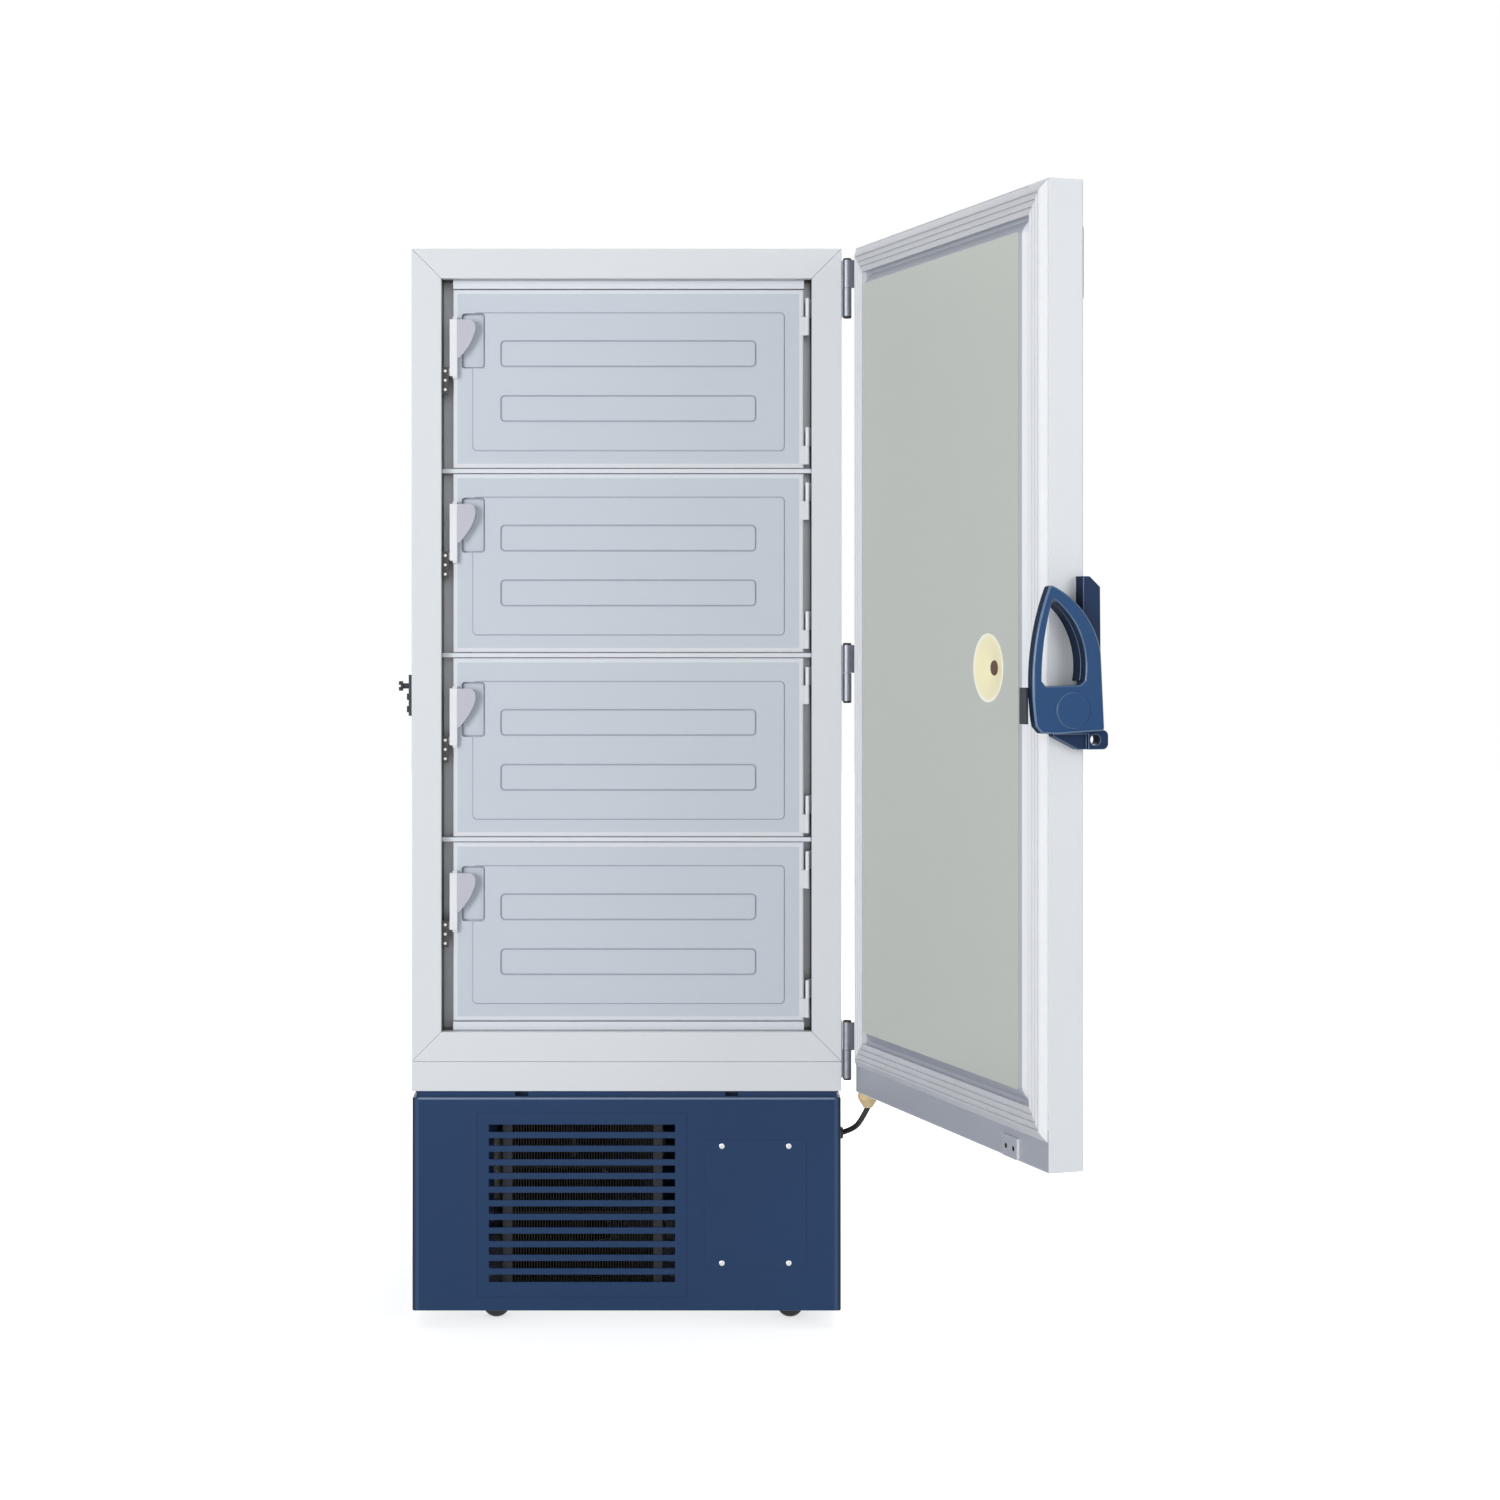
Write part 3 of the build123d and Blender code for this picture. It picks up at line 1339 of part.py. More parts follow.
# Door cable: straight runs and tangent arcs from inside the gland to inside the grommet
gland_spot = (swing * Pos(gland_x, gland_y, gland_end)).position
cable_lead = Vector(-cable_lean, cable_swing, -cable_drop).normalized()
cable_turn = Vector(
    fascia_half + cable_turn_out, grommet_behind - cable_turn_ahead, grommet_height + cable_turn_rise
)
cable_points = [
    gland_spot - cable_lead * cable_in_gland,
    gland_spot + Vector(-cable_lean, cable_swing, -cable_drop),
    cable_turn,
    Vector(fascia_half + cable_end_out, grommet_behind, grommet_height),
]
runs = [after - before for before, after in zip(cable_points, cable_points[1:])]
cable_radii = []
for first, second in zip(runs, runs[1:]):
    half_turn = math.radians(first.get_angle(second)) / 2
    cable_radii.append(cable_bend_share * min(first.length, second.length) / math.tan(half_turn))
cable_path = FilletPolyline(*cable_points, radius=cable_radii)
cable = sweep(Plane(origin=cable_points[0], z_dir=runs[0]) * Circle(cable_radius), cable_path)
print("cable radii", [round(radius, 1) for radius in cable_radii], "length", round(cable_path.length, 1))

# Holes for the cable in its gland and grommet
gland_hole = rod(
    cable_points[0] - runs[0].normalized() * clearance, cable_points[1], cable_radius + running_fit
)
nodes["cable_gland"] = swing * gland - gland_hole
grommet_hole = rod(
    cable_points[2], cable_points[3] + runs[-1].normalized() * clearance, cable_radius + running_fit
)
nodes["cable_entries"] = Compound([inlet, grommet - grommet_hole])

# The origin is on the floor under the middle of the bounding box, the cable left out
boxes = [shape.bounding_box() for shape in nodes.values()]
origin_x = (min(box.min.X for box in boxes) + max(box.max.X for box in boxes)) / 2
origin_y = (min(box.min.Y for box in boxes) + max(box.max.Y for box in boxes)) / 2

nodes["door_cable"] = cable

for name, shape in nodes.items():
    export_step(Pos(-origin_x, -origin_y, 0) * shape, f"parts/{name}.step")
print(len(nodes), "nodes, origin at", round(origin_x, 3), round(origin_y, 3))
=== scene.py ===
import json
import math

import bpy
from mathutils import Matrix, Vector

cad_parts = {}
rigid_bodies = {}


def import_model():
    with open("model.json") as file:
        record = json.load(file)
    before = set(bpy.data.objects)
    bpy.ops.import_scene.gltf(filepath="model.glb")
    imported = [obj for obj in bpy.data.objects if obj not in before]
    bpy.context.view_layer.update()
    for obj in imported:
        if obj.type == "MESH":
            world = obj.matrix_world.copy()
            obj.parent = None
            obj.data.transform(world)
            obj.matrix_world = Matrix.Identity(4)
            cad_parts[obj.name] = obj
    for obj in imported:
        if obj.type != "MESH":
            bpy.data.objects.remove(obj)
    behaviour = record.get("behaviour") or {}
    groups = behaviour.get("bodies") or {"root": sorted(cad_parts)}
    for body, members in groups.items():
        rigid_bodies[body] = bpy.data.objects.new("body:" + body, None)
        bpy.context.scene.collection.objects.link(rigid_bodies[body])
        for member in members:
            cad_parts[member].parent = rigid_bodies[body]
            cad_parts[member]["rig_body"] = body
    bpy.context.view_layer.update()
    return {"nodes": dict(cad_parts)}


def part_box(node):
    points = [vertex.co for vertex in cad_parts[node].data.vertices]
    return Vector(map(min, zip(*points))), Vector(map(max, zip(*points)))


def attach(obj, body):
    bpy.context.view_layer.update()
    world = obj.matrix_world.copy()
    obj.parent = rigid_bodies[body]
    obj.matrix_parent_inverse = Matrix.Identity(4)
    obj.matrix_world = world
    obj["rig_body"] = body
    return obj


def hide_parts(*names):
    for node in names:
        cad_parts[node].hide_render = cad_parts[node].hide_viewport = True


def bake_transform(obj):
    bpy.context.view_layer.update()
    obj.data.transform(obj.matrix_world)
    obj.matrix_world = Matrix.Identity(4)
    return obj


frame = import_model()
parts = frame["nodes"]


# The studio: a pale floor that the camera sees as white, in an even white room. A large
# soft box lights the freezer from the front left, and smaller ones stand in front, on the
# right and behind.
CAMERA_PLACE = (-0.107105, -4.83471, 1.2595)
CAMERA_SENSOR = 36
CAMERA_LENS = 63.76
CAMERA_SHIFT = (0.06, -0.074)
WHITE = (1, 1, 1, 1)
FLOOR_SIZE = 40
FLOOR_PAINT = (0.82, 0.82, 0.83, 1)
FLOOR_NEAR = 1.0
FLOOR_FAR = 2.5
FLOOR_LIFT_NEAR = 0.62
FLOOR_LIFT_FAR = 0.98
ROOM_TINT = (0.95, 0.97, 1.0, 1)
ROOM_STRENGTH = 0.44


def add_node(tree, kind, operation=None, values=None):
    """Adds a node to a node tree, with its operation and the values of its sockets."""
    node = tree.nodes.new(kind)
    if operation:
        node.operation = operation
    for socket, value in (values or {}).items():
        node.inputs[socket].default_value = value
    return node


def soft_box(name, place, aim, width, height, power):
    """A rectangular studio lamp at a place, turned to an aim point."""
    lamp = bpy.data.lights.new(name, "AREA")
    lamp.shape = "RECTANGLE"
    lamp.size = width
    lamp.size_y = height
    lamp.energy = power
    holder = bpy.data.objects.new(name, lamp)
    bpy.context.scene.collection.objects.link(holder)
    holder.location = place
    holder.rotation_euler = (Vector(aim) - Vector(place)).to_track_quat("-Z", "Y").to_euler()


bpy.ops.object.select_all(action="DESELECT")
bpy.ops.mesh.primitive_plane_add(size=FLOOR_SIZE, location=(0, 0, 0))
floor = bpy.context.object
floor.name = "studio_floor"
floor_look = bpy.data.materials.new("studio_floor_white")
floor_look.use_nodes = True
tree = floor_look.node_tree
tree.nodes.clear()
out = add_node(tree, "ShaderNodeOutputMaterial")
path = add_node(tree, "ShaderNodeLightPath")
place = add_node(tree, "ShaderNodeTexCoord")
away = add_node(tree, "ShaderNodeVectorMath", "LENGTH")
fade = add_node(tree, "ShaderNodeMapRange", values={
    "From Min": FLOOR_NEAR, "From Max": FLOOR_FAR, "To Min": FLOOR_LIFT_NEAR, "To Max": FLOOR_LIFT_FAR,
})
paint = add_node(tree, "ShaderNodeBsdfDiffuse", values={"Color": FLOOR_PAINT})
lift = add_node(tree, "ShaderNodeEmission")
lifted = add_node(tree, "ShaderNodeAddShader")
seen = add_node(tree, "ShaderNodeMixShader")
glow = add_node(tree, "ShaderNodeEmission", values={"Color": WHITE})
shown = add_node(tree, "ShaderNodeMath", "MAXIMUM")
mirrored = add_node(tree, "ShaderNodeMixShader")
tree.links.new(place.outputs["Object"], away.inputs[0])
tree.links.new(away.outputs["Value"], fade.inputs["Value"])
tree.links.new(fade.outputs["Result"], lift.inputs["Color"])
tree.links.new(paint.outputs["BSDF"], lifted.inputs[0])
tree.links.new(lift.outputs["Emission"], lifted.inputs[1])
tree.links.new(path.outputs["Is Camera Ray"], seen.inputs["Fac"])
tree.links.new(paint.outputs["BSDF"], seen.inputs[1])
tree.links.new(lifted.outputs["Shader"], seen.inputs[2])
tree.links.new(path.outputs["Is Glossy Ray"], shown.inputs[0])
tree.links.new(path.outputs["Is Transmission Ray"], shown.inputs[1])
tree.links.new(shown.outputs["Value"], mirrored.inputs["Fac"])
tree.links.new(seen.outputs["Shader"], mirrored.inputs[1])
tree.links.new(glow.outputs["Emission"], mirrored.inputs[2])
tree.links.new(mirrored.outputs["Shader"], out.inputs["Surface"])
floor.data.materials.append(floor_look)

room = bpy.data.worlds.new("white_room")
bpy.context.scene.world = room
room.use_nodes = True
tree = room.node_tree
tree.nodes.clear()
out = add_node(tree, "ShaderNodeOutputWorld")
path = add_node(tree, "ShaderNodeLightPath")
soft = add_node(tree, "ShaderNodeBackground", values={"Color": ROOM_TINT, "Strength": ROOM_STRENGTH})
white = add_node(tree, "ShaderNodeBackground", values={"Color": WHITE, "Strength": 1.0})
seen = add_node(tree, "ShaderNodeMath", "MAXIMUM")
shown = add_node(tree, "ShaderNodeMath", "MAXIMUM")
pick = add_node(tree, "ShaderNodeMixShader")
tree.links.new(path.outputs["Is Camera Ray"], seen.inputs[0])
tree.links.new(path.outputs["Is Transmission Ray"], seen.inputs[1])
tree.links.new(path.outputs["Is Glossy Ray"], shown.inputs[0])
tree.links.new(seen.outputs["Value"], shown.inputs[1])
tree.links.new(shown.outputs["Value"], pick.inputs["Fac"])
tree.links.new(soft.outputs["Background"], pick.inputs[1])
tree.links.new(white.outputs["Background"], pick.inputs[2])
tree.links.new(pick.outputs["Shader"], out.inputs["Surface"])

soft_box("key_box", place=(-5.55, -7.35, 2.0), aim=(0.0, 0.0, 1.1), width=3.0, height=3.6, power=372)
soft_box("fill_box", place=(3.6, -3.6, 2.2), aim=(0.1, -0.2, 1.0), width=2.2, height=2.6, power=48)
soft_box("front_box", place=(0.9, -7.0, 2.2), aim=(0.0, 0.0, 1.0), width=2.0, height=2.4, power=32)
soft_box("rear_box", place=(0.5, 4.5, 3.6), aim=(0.0, 0.2, 1.0), width=3.0, height=2.0, power=90)

eye = bpy.data.cameras.new("catalogue_camera")
eye.sensor_width = CAMERA_SENSOR
eye.lens = CAMERA_LENS
eye.shift_x, eye.shift_y = CAMERA_SHIFT
camera = bpy.data.objects.new("catalogue_camera", eye)
camera.location = CAMERA_PLACE
camera.rotation_euler = (math.radians(90), 0, 0)
bpy.context.scene.collection.objects.link(camera)
bpy.context.scene.camera = camera
bpy.context.scene.view_settings.view_transform = "Standard"


# The door cable: a black rubber-sheathed lead about 100 mm long between the gland under
# the door and a grommet on the right of the base. It bends each time the door swings.
CABLE_ROUTE = (
    (0.27434, 0.00178, 0.41329),
    (0.26046, 0.00683, 0.383),
    (0.24739, 0.04429, 0.359),
    (0.22559, 0.04929, 0.352),
)
CABLE_RADIUS = 0.005
CABLE_ROUND = 4
LINE_STEPS = 24
LINE_ORDER = 3
SKIN_VALUES = ("Tone", "Tone Size", "Roughness", "Gloss Drift", "Grain Size", "Grain Depth")


def fine_skin_group():
    """Slow drift of tone, uneven gloss and a fine grain, for painted and moulded faces."""
    group = bpy.data.node_groups.new("fine_skin", "ShaderNodeTree")
    face = group.interface
    face.new_socket("Colour", in_out="INPUT", socket_type="NodeSocketColor")
    for name in SKIN_VALUES:
        face.new_socket(name, in_out="INPUT", socket_type="NodeSocketFloat")
    face.new_socket("Colour", in_out="OUTPUT", socket_type="NodeSocketColor")
    face.new_socket("Roughness", in_out="OUTPUT", socket_type="NodeSocketFloat")
    face.new_socket("Normal", in_out="OUTPUT", socket_type="NodeSocketVector")
    given = add_node(group, "NodeGroupInput")
    result = add_node(group, "NodeGroupOutput")
    place = add_node(group, "ShaderNodeTexCoord")
    drift = add_node(group, "ShaderNodeTexNoise", values={"Detail": 4})
    middle = add_node(group, "ShaderNodeMath", "SUBTRACT", values={1: 0.5})
    tone = add_node(group, "ShaderNodeMath", "MULTIPLY_ADD", values={2: 1.0})
    shade = add_node(group, "ShaderNodeHueSaturation")
    gloss = add_node(group, "ShaderNodeMath", "MULTIPLY_ADD")
    grain = add_node(group, "ShaderNodeTexNoise", values={"Detail": 2})
    bump = add_node(group, "ShaderNodeBump", values={"Strength": 1.0})
    group.links.new(place.outputs["Object"], drift.inputs["Vector"])
    group.links.new(given.outputs["Tone Size"], drift.inputs["Scale"])
    group.links.new(drift.outputs["Fac"], middle.inputs[0])
    group.links.new(middle.outputs["Value"], tone.inputs[0])
    group.links.new(given.outputs["Tone"], tone.inputs[1])
    group.links.new(given.outputs["Colour"], shade.inputs["Color"])
    group.links.new(tone.outputs["Value"], shade.inputs["Value"])
    group.links.new(middle.outputs["Value"], gloss.inputs[0])
    group.links.new(given.outputs["Gloss Drift"], gloss.inputs[1])
    group.links.new(given.outputs["Roughness"], gloss.inputs[2])
    group.links.new(place.outputs["Object"], grain.inputs["Vector"])
    group.links.new(given.outputs["Grain Size"], grain.inputs["Scale"])
    group.links.new(grain.outputs["Fac"], bump.inputs["Height"])
    group.links.new(given.outputs["Grain Depth"], bump.inputs["Distance"])
    group.links.new(shade.outputs["Color"], result.inputs["Colour"])
    group.links.new(gloss.outputs["Value"], result.inputs["Roughness"])
    group.links.new(bump.outputs["Normal"], result.inputs["Normal"])
    return group


FINE_SKIN = fine_skin_group()


def skin_look(
    name, colour, roughness, tone=0.06, tone_size=6, gloss_drift=0.1,
    grain_size=900, grain_depth=0.00006, metallic=0.0, specular=0.5,
):
    """A painted, moulded or plated finish made from the fine skin group."""
    look = bpy.data.materials.new(name)
    look.use_nodes = True
    tree = look.node_tree
    shader = tree.nodes["Principled BSDF"]
    shader.inputs["Metallic"].default_value = metallic
    shader.inputs["Specular IOR Level"].default_value = specular
    skin = tree.nodes.new("ShaderNodeGroup")
    skin.node_tree = FINE_SKIN
    skin.inputs["Colour"].default_value = (*colour, 1)
    values = (tone, tone_size, roughness, gloss_drift, grain_size, grain_depth)
    for socket, value in zip(SKIN_VALUES, values):
        skin.inputs[socket].default_value = value
    tree.links.new(skin.outputs["Colour"], shader.inputs["Base Color"])
    tree.links.new(skin.outputs["Roughness"], shader.inputs["Roughness"])
    tree.links.new(skin.outputs["Normal"], shader.inputs["Normal"])
    return look


def coat(piece, *looks):
    """Gives a piece its finishes, the first one on all its faces."""
    piece.data.materials.clear()
    for look in looks:
        piece.data.materials.append(look)


def dress(look, *names):
    """Gives CAD pieces a finish."""
    for name in names:
        coat(parts[name], look)


def choose(piece):
    """Makes one piece the active one and the only one selected."""
    bpy.ops.object.select_all(action="DESELECT")
    piece.select_set(True)
    bpy.context.view_layer.objects.active = piece


def line_through(name, spots, kind):
    """A line of a given kind along a row of spots."""
    line = bpy.data.curves.new(name, "CURVE")
    line.dimensions = "3D"
    line.resolution_u = LINE_STEPS
    run = line.splines.new(kind)
    run.points.add(len(spots) - 1)
    for point, spot in zip(run.points, spots):
        point.co = (*spot, 1)
    run.order_u = LINE_ORDER
    run.use_endpoint_u = True
    piece = bpy.data.objects.new(name, line)
    bpy.context.scene.collection.objects.link(piece)
    bpy.context.view_layer.update()
    return piece


def swept(line, radius, roundness):
    """Turns a line into a round rod with closed ends."""
    line.data.bevel_depth = radius
    line.data.bevel_resolution = roundness
    line.data.use_fill_caps = True
    choose(line)
    bpy.ops.object.convert(target="MESH")
    bpy.ops.object.shade_smooth()
    return bpy.context.object


cable_rubber = skin_look(
    "cable_rubber", (0.012, 0.012, 0.013), roughness=0.55, tone=0.2, tone_size=60, grain_size=2200,
)
cable_line = line_through("cable_line", CABLE_ROUTE, "NURBS")
cable_path = [tuple(spot.co) for spot in bpy.data.meshes.new_from_object(cable_line).vertices]
door_cable = swept(cable_line, CABLE_RADIUS, CABLE_ROUND)
door_cable.name = "door_cable_sheath"
coat(door_cable, cable_rubber)
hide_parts("door_cable")
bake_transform(door_cable)


# Casters: near-black nylon wheels in pressed zinc-plated forks, bolted to plates under the
# zinc-plated floor pan. They roll and swivel, and only their bottoms show in front.
CASTERS = (1, 2, 3, 4)

zinc = skin_look(
    "zinc_plate", (0.55, 0.57, 0.60), roughness=0.32, tone=0.25, tone_size=40, gloss_drift=0.25,
    grain_size=500, metallic=1.0,
)
wheel_nylon = skin_look("wheel_nylon", (0.009, 0.009, 0.010), roughness=0.45, tone=0.15, tone_size=50)
for number in CASTERS:
    dress(zinc, f"caster_fork_{number}")
    dress(wheel_nylon, f"caster_wheel_{number}")
dress(zinc, "base_frame")


# The base: dark blue enamelled sheet steel round the refrigeration unit. Side and rear covers
# have punched vents, and a joint strip closes the gap under the cabinet.
ENAMEL_BLUE = (0.012, 0.041, 0.114)


def base_enamel(name):
    """Dark blue enamel with a faint grain."""
    return skin_look(
        name, ENAMEL_BLUE, roughness=0.32, tone=0.10, tone_size=3, gloss_drift=0.12,
        grain_size=1100, grain_depth=0.0001, specular=0.25,
    )


blue_enamel = base_enamel("blue_enamel")
dress(blue_enamel, "base_covers", "base_joint_strip")


# The front fascia: one tray-shaped sheet with its edges folded back. Its upper edge has a
# painted highlight, and each end has a painted highlight line and a painted shade line where
# the fold turns.
RIGHT = (1, 0, 0)
LEFT = (-1, 0, 0)
FRONT = (0, -1, 0)
UP = (0, 0, 1)
DOWN = (0, 0, -1)
RIM_HIGHLIGHT_BLUE = (0.20, 0.27, 0.38)
RIM_HIGHLIGHT_REACH = 0.0040
FOLD_HIGHLIGHT = ((0.034, 0.075, 0.165), 0.0135, 0.0095)
FOLD_PAINTED_SHADE = ((0.002, 0.008, 0.022), 0.0085, 0.0020)
FOLD_DEPTH = (0.0075, 0.0045)


def banded(look, colour, mask):
    """Gives a finish a second colour where a mask is 1."""
    tree = look.node_tree
    shader = tree.nodes["Principled BSDF"]
    under = shader.inputs["Base Color"].links[0].from_socket
    blend = tree.nodes.new("ShaderNodeMix")
    blend.data_type = "RGBA"
    blend.inputs["B"].default_value = (*colour, 1)
    tree.links.new(mask, blend.inputs["Factor"])
    tree.links.new(under, blend.inputs["A"])
    tree.links.new(blend.outputs["Result"], shader.inputs["Base Color"])


def beyond(look, way, start, end):
    """A mask that rises from 0 to 1 along a direction, between two distances."""
    tree = look.node_tree
    place = add_node(tree, "ShaderNodeTexCoord")
    along = add_node(tree, "ShaderNodeVectorMath", "DOT_PRODUCT", values={1: way})
    ramp = add_node(tree, "ShaderNodeMapRange", values={"From Min": start, "From Max": end})
    tree.links.new(place.outputs["Object"], along.inputs[0])
    tree.links.new(along.outputs["Value"], ramp.inputs["Value"])
    return ramp.outputs["Result"]


def joined(look, operation, first, second):
    """One mask from two, by a named operation."""
    tree = look.node_tree
    step = add_node(tree, "ShaderNodeMath", operation)
    tree.links.new(first, step.inputs[0])
    tree.links.new(second, step.inputs[1])
    return step.outputs["Value"]


fascia_blue = base_enamel("fascia_blue")
fascia_low, fascia_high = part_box("front_fascia")
fascia_top = fascia_high[2]
fascia_front = -fascia_low[1]
# Painted highlight: a lighter blue along the fascia's upper edge.
rim_highlight_mask = beyond(fascia_blue, UP, fascia_top - RIM_HIGHLIGHT_REACH, fascia_top - RIM_HIGHLIGHT_REACH / 2)
banded(fascia_blue, RIM_HIGHLIGHT_BLUE, rim_highlight_mask)
# Painted highlight and painted shade: a lighter band and a darker band at each end of the front face,
# where the fold turns.
front_mask = beyond(fascia_blue, FRONT, fascia_front - FOLD_DEPTH[0], fascia_front - FOLD_DEPTH[1])
for way, edge in ((RIGHT, fascia_high[0]), (LEFT, -fascia_low[0])):
    for colour, start, end in (FOLD_HIGHLIGHT, FOLD_PAINTED_SHADE):
        fold_light_and_shade_mask = beyond(fascia_blue, way, edge - start, edge - end)
        banded(fascia_blue, colour, joined(fascia_blue, "MULTIPLY", fold_light_and_shade_mask, front_mask))
dress(fascia_blue, "front_fascia")


# Grille and access cover: two enamelled plates in the fascia. The grille is slotted for the
# condenser's air, and the plain cover beside it comes off for service.
MERGE_REACH = 0.00001
FLAT_ANGLE = math.radians(1)
EDGE_ANGLE = math.radians(40)
SMOOTH_ANGLE = math.radians(35)


def edit(piece):
    """Chooses one piece and opens it in edit mode."""
    choose(piece)
    bpy.ops.object.mode_set(mode="EDIT")


def eased(node, name, look, width, segments=2):
    """A copy of a CAD piece with its sharp edges rounded over, standing for it."""
    piece = bpy.data.objects.new(name, parts[node].data.copy())
    bpy.context.scene.collection.objects.link(piece)
    edit(piece)
    bpy.ops.mesh.select_all(action="SELECT")
    bpy.ops.mesh.remove_doubles(threshold=MERGE_REACH)
    bpy.ops.mesh.dissolve_limited(angle_limit=FLAT_ANGLE)
    bpy.ops.object.mode_set(mode="OBJECT")
    round_over = piece.modifiers.new("round_over", "BEVEL")
    round_over.width = width
    round_over.segments = segments
    round_over.limit_method = "ANGLE"
    round_over.angle_limit = EDGE_ANGLE
    bpy.ops.object.modifier_apply(modifier="round_over")
    bpy.ops.object.shade_smooth_by_angle(angle=SMOOTH_ANGLE)
    even = piece.modifiers.new("even_normals", "WEIGHTED_NORMAL")
    even.keep_sharp = True
    bpy.ops.object.modifier_apply(modifier="even_normals")
    coat(piece, look)
    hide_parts(node)
    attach(piece, parts[node]["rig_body"])
    return piece


eased("intake_grille", "grille_plate", blue_enamel, width=0.0006)
eased("access_cover", "service_cover", blue_enamel, width=0.0004)


# Cover screws: four bright domed steel screws with a cross recess, one near each corner of the
# access cover. The grommet of the door cable and the mains inlet are black plastic.
FACING = 0.9
ROUND_SIDES = 32
SCREW_RADIUS = 0.0055
SCREW_DOME = 0.4364
SCREW_ROLL = 0.85
SCREW_STEPS = 4
SCREW_RECESS = (0.9455, 0.2909, 0.2182)
SCREW_FACE = 0.014290
SCREW_COLUMNS = (0.005895, 0.127895)
SCREW_ROWS = (0.1205, 0.334)


def settle(piece):
    """Puts a piece's place, turn and size into its mesh."""
    bpy.ops.object.mode_set(mode="OBJECT")
    choose(piece)
    bpy.ops.object.transform_apply(location=True, rotation=True, scale=True)


def pick_faces(piece, wanted):
    """Selects the faces of the piece being edited that the test asks for."""
    bpy.ops.mesh.select_mode(type="FACE")
    bpy.ops.mesh.select_all(action="DESELECT")
    bpy.ops.object.mode_set(mode="OBJECT")
    for face in piece.data.polygons:
        face.select = wanted(face)
    bpy.ops.object.mode_set(mode="EDIT")


def join(pieces, name):
    """Joins pieces into one object."""
    choose(pieces[0])
    for piece in pieces[1:]:
        piece.select_set(True)
    bpy.ops.object.join()
    pieces[0].name = name
    return pieces[0]


def row_of(first, shifts, name):
    """Copies a finished piece by each shift and joins it with its copies."""
    row = [first]
    for shift in shifts:
        piece = first.copy()
        piece.data = first.data.copy()
        bpy.context.scene.collection.objects.link(piece)
        piece.location = shift
        settle(piece)
        row.append(piece)
    return join(row, name)


def domed(place, turn, radius, rise, way, roll, steps):
    """A short round piece whose edge is rolled over on the side that looks one way."""
    bpy.ops.object.select_all(action="DESELECT")
    bpy.ops.mesh.primitive_cylinder_add(
        vertices=ROUND_SIDES, radius=radius, depth=rise, location=place, rotation=turn,
    )
    piece = bpy.context.object
    settle(piece)
    edit(piece)
    pick_faces(piece, lambda face: face.normal.dot(Vector(way)) > FACING)
    bpy.ops.mesh.bevel(offset=rise * roll, segments=steps, affect="EDGES")
    settle(piece)
    return piece


def cross_screws(name, spots, radius):
    """Domed screws with a cross recess, standing out to the front from each spot."""
    x, face, z = spots[0]
    rise = SCREW_DOME * radius
    lying = (math.radians(90), 0, 0)
    head = domed((x, face - rise / 2, z), lying, radius, rise, FRONT, SCREW_ROLL, SCREW_STEPS)
    long, deep, wide = (share * radius for share in SCREW_RECESS)
    for size in ((long, deep, wide), (wide, deep, long)):
        bpy.ops.object.select_all(action="DESELECT")
        bpy.ops.mesh.primitive_cube_add(size=1, location=(x, face - rise, z))
        slot_tool = bpy.context.object
        slot_tool.scale = size
        settle(slot_tool)
        bpy.context.view_layer.objects.active = head
        recess = head.modifiers.new("recess", "BOOLEAN")
        recess.operation = "DIFFERENCE"
        recess.object = slot_tool
        bpy.ops.object.modifier_apply(modifier="recess")
        bpy.data.objects.remove(slot_tool)
    screws = row_of(head, [Vector(spot) - Vector(spots[0]) for spot in spots[1:]], name)
    bpy.ops.object.shade_smooth_by_angle(angle=SMOOTH_ANGLE)
    coat(screws, bright_steel)
    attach(screws, "cabinet")
    return screws


bright_steel = skin_look(
    "bright_steel", (0.72, 0.73, 0.75), roughness=0.22, tone=0.1, tone_size=80, gloss_drift=0.2,
    metallic=1.0,
)
cover_spots = [(x, SCREW_FACE, z) for x in SCREW_COLUMNS for z in SCREW_ROWS]
cover_screws = cross_screws("cover_screw_heads", cover_spots, SCREW_RADIUS)
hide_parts("cover_screws")
black_plastic = skin_look("black_plastic", (0.014, 0.014, 0.016), roughness=0.5, tone=0.2, tone_size=30)
dress(black_plastic, "cable_entries")


# The condenser: closely spaced aluminium fins on one copper tube that runs to and fro behind
# the grille, held between two dark sheet cheeks with flanges at the front. The fins, the tube
# and the cheeks are coloured much darker than their metal: painted shade for the dim inside
# of the base.
COIL_LOW = (-0.378605, 0.05929, 0.073)
COIL_HIGH = (-0.120605, 0.10329, 0.410)
FIN_PITCH = 0.005
FIN_THICK = 0.0008
FIN_CUTS = 3
TUBE_RADIUS = 0.0045
TUBE_ROUND = 3
TUBE_HEIGHTS = (0.115125, 0.199375, 0.283625, 0.367875)
BEND_STEPS = 10
CHEEK_THICK = 0.001
CHEEK_FLANGE = 0.016


def plate(name, low, high):
    """A flat plate between two corners."""
    bpy.ops.object.select_all(action="DESELECT")
    middle = [(a + b) / 2 for a, b in zip(low, high)]
    bpy.ops.mesh.primitive_cube_add(size=1, location=middle)
    piece = bpy.context.object
    piece.name = name
    piece.scale = [b - a for a, b in zip(low, high)]
    settle(piece)
    return piece


def drawn_out(piece, wanted, shift):
    """Draws the faces that the test asks for out of a piece."""
    edit(piece)
    pick_faces(piece, wanted)
    bpy.ops.mesh.extrude_region_move(TRANSFORM_OT_translate={"value": shift})
    settle(piece)
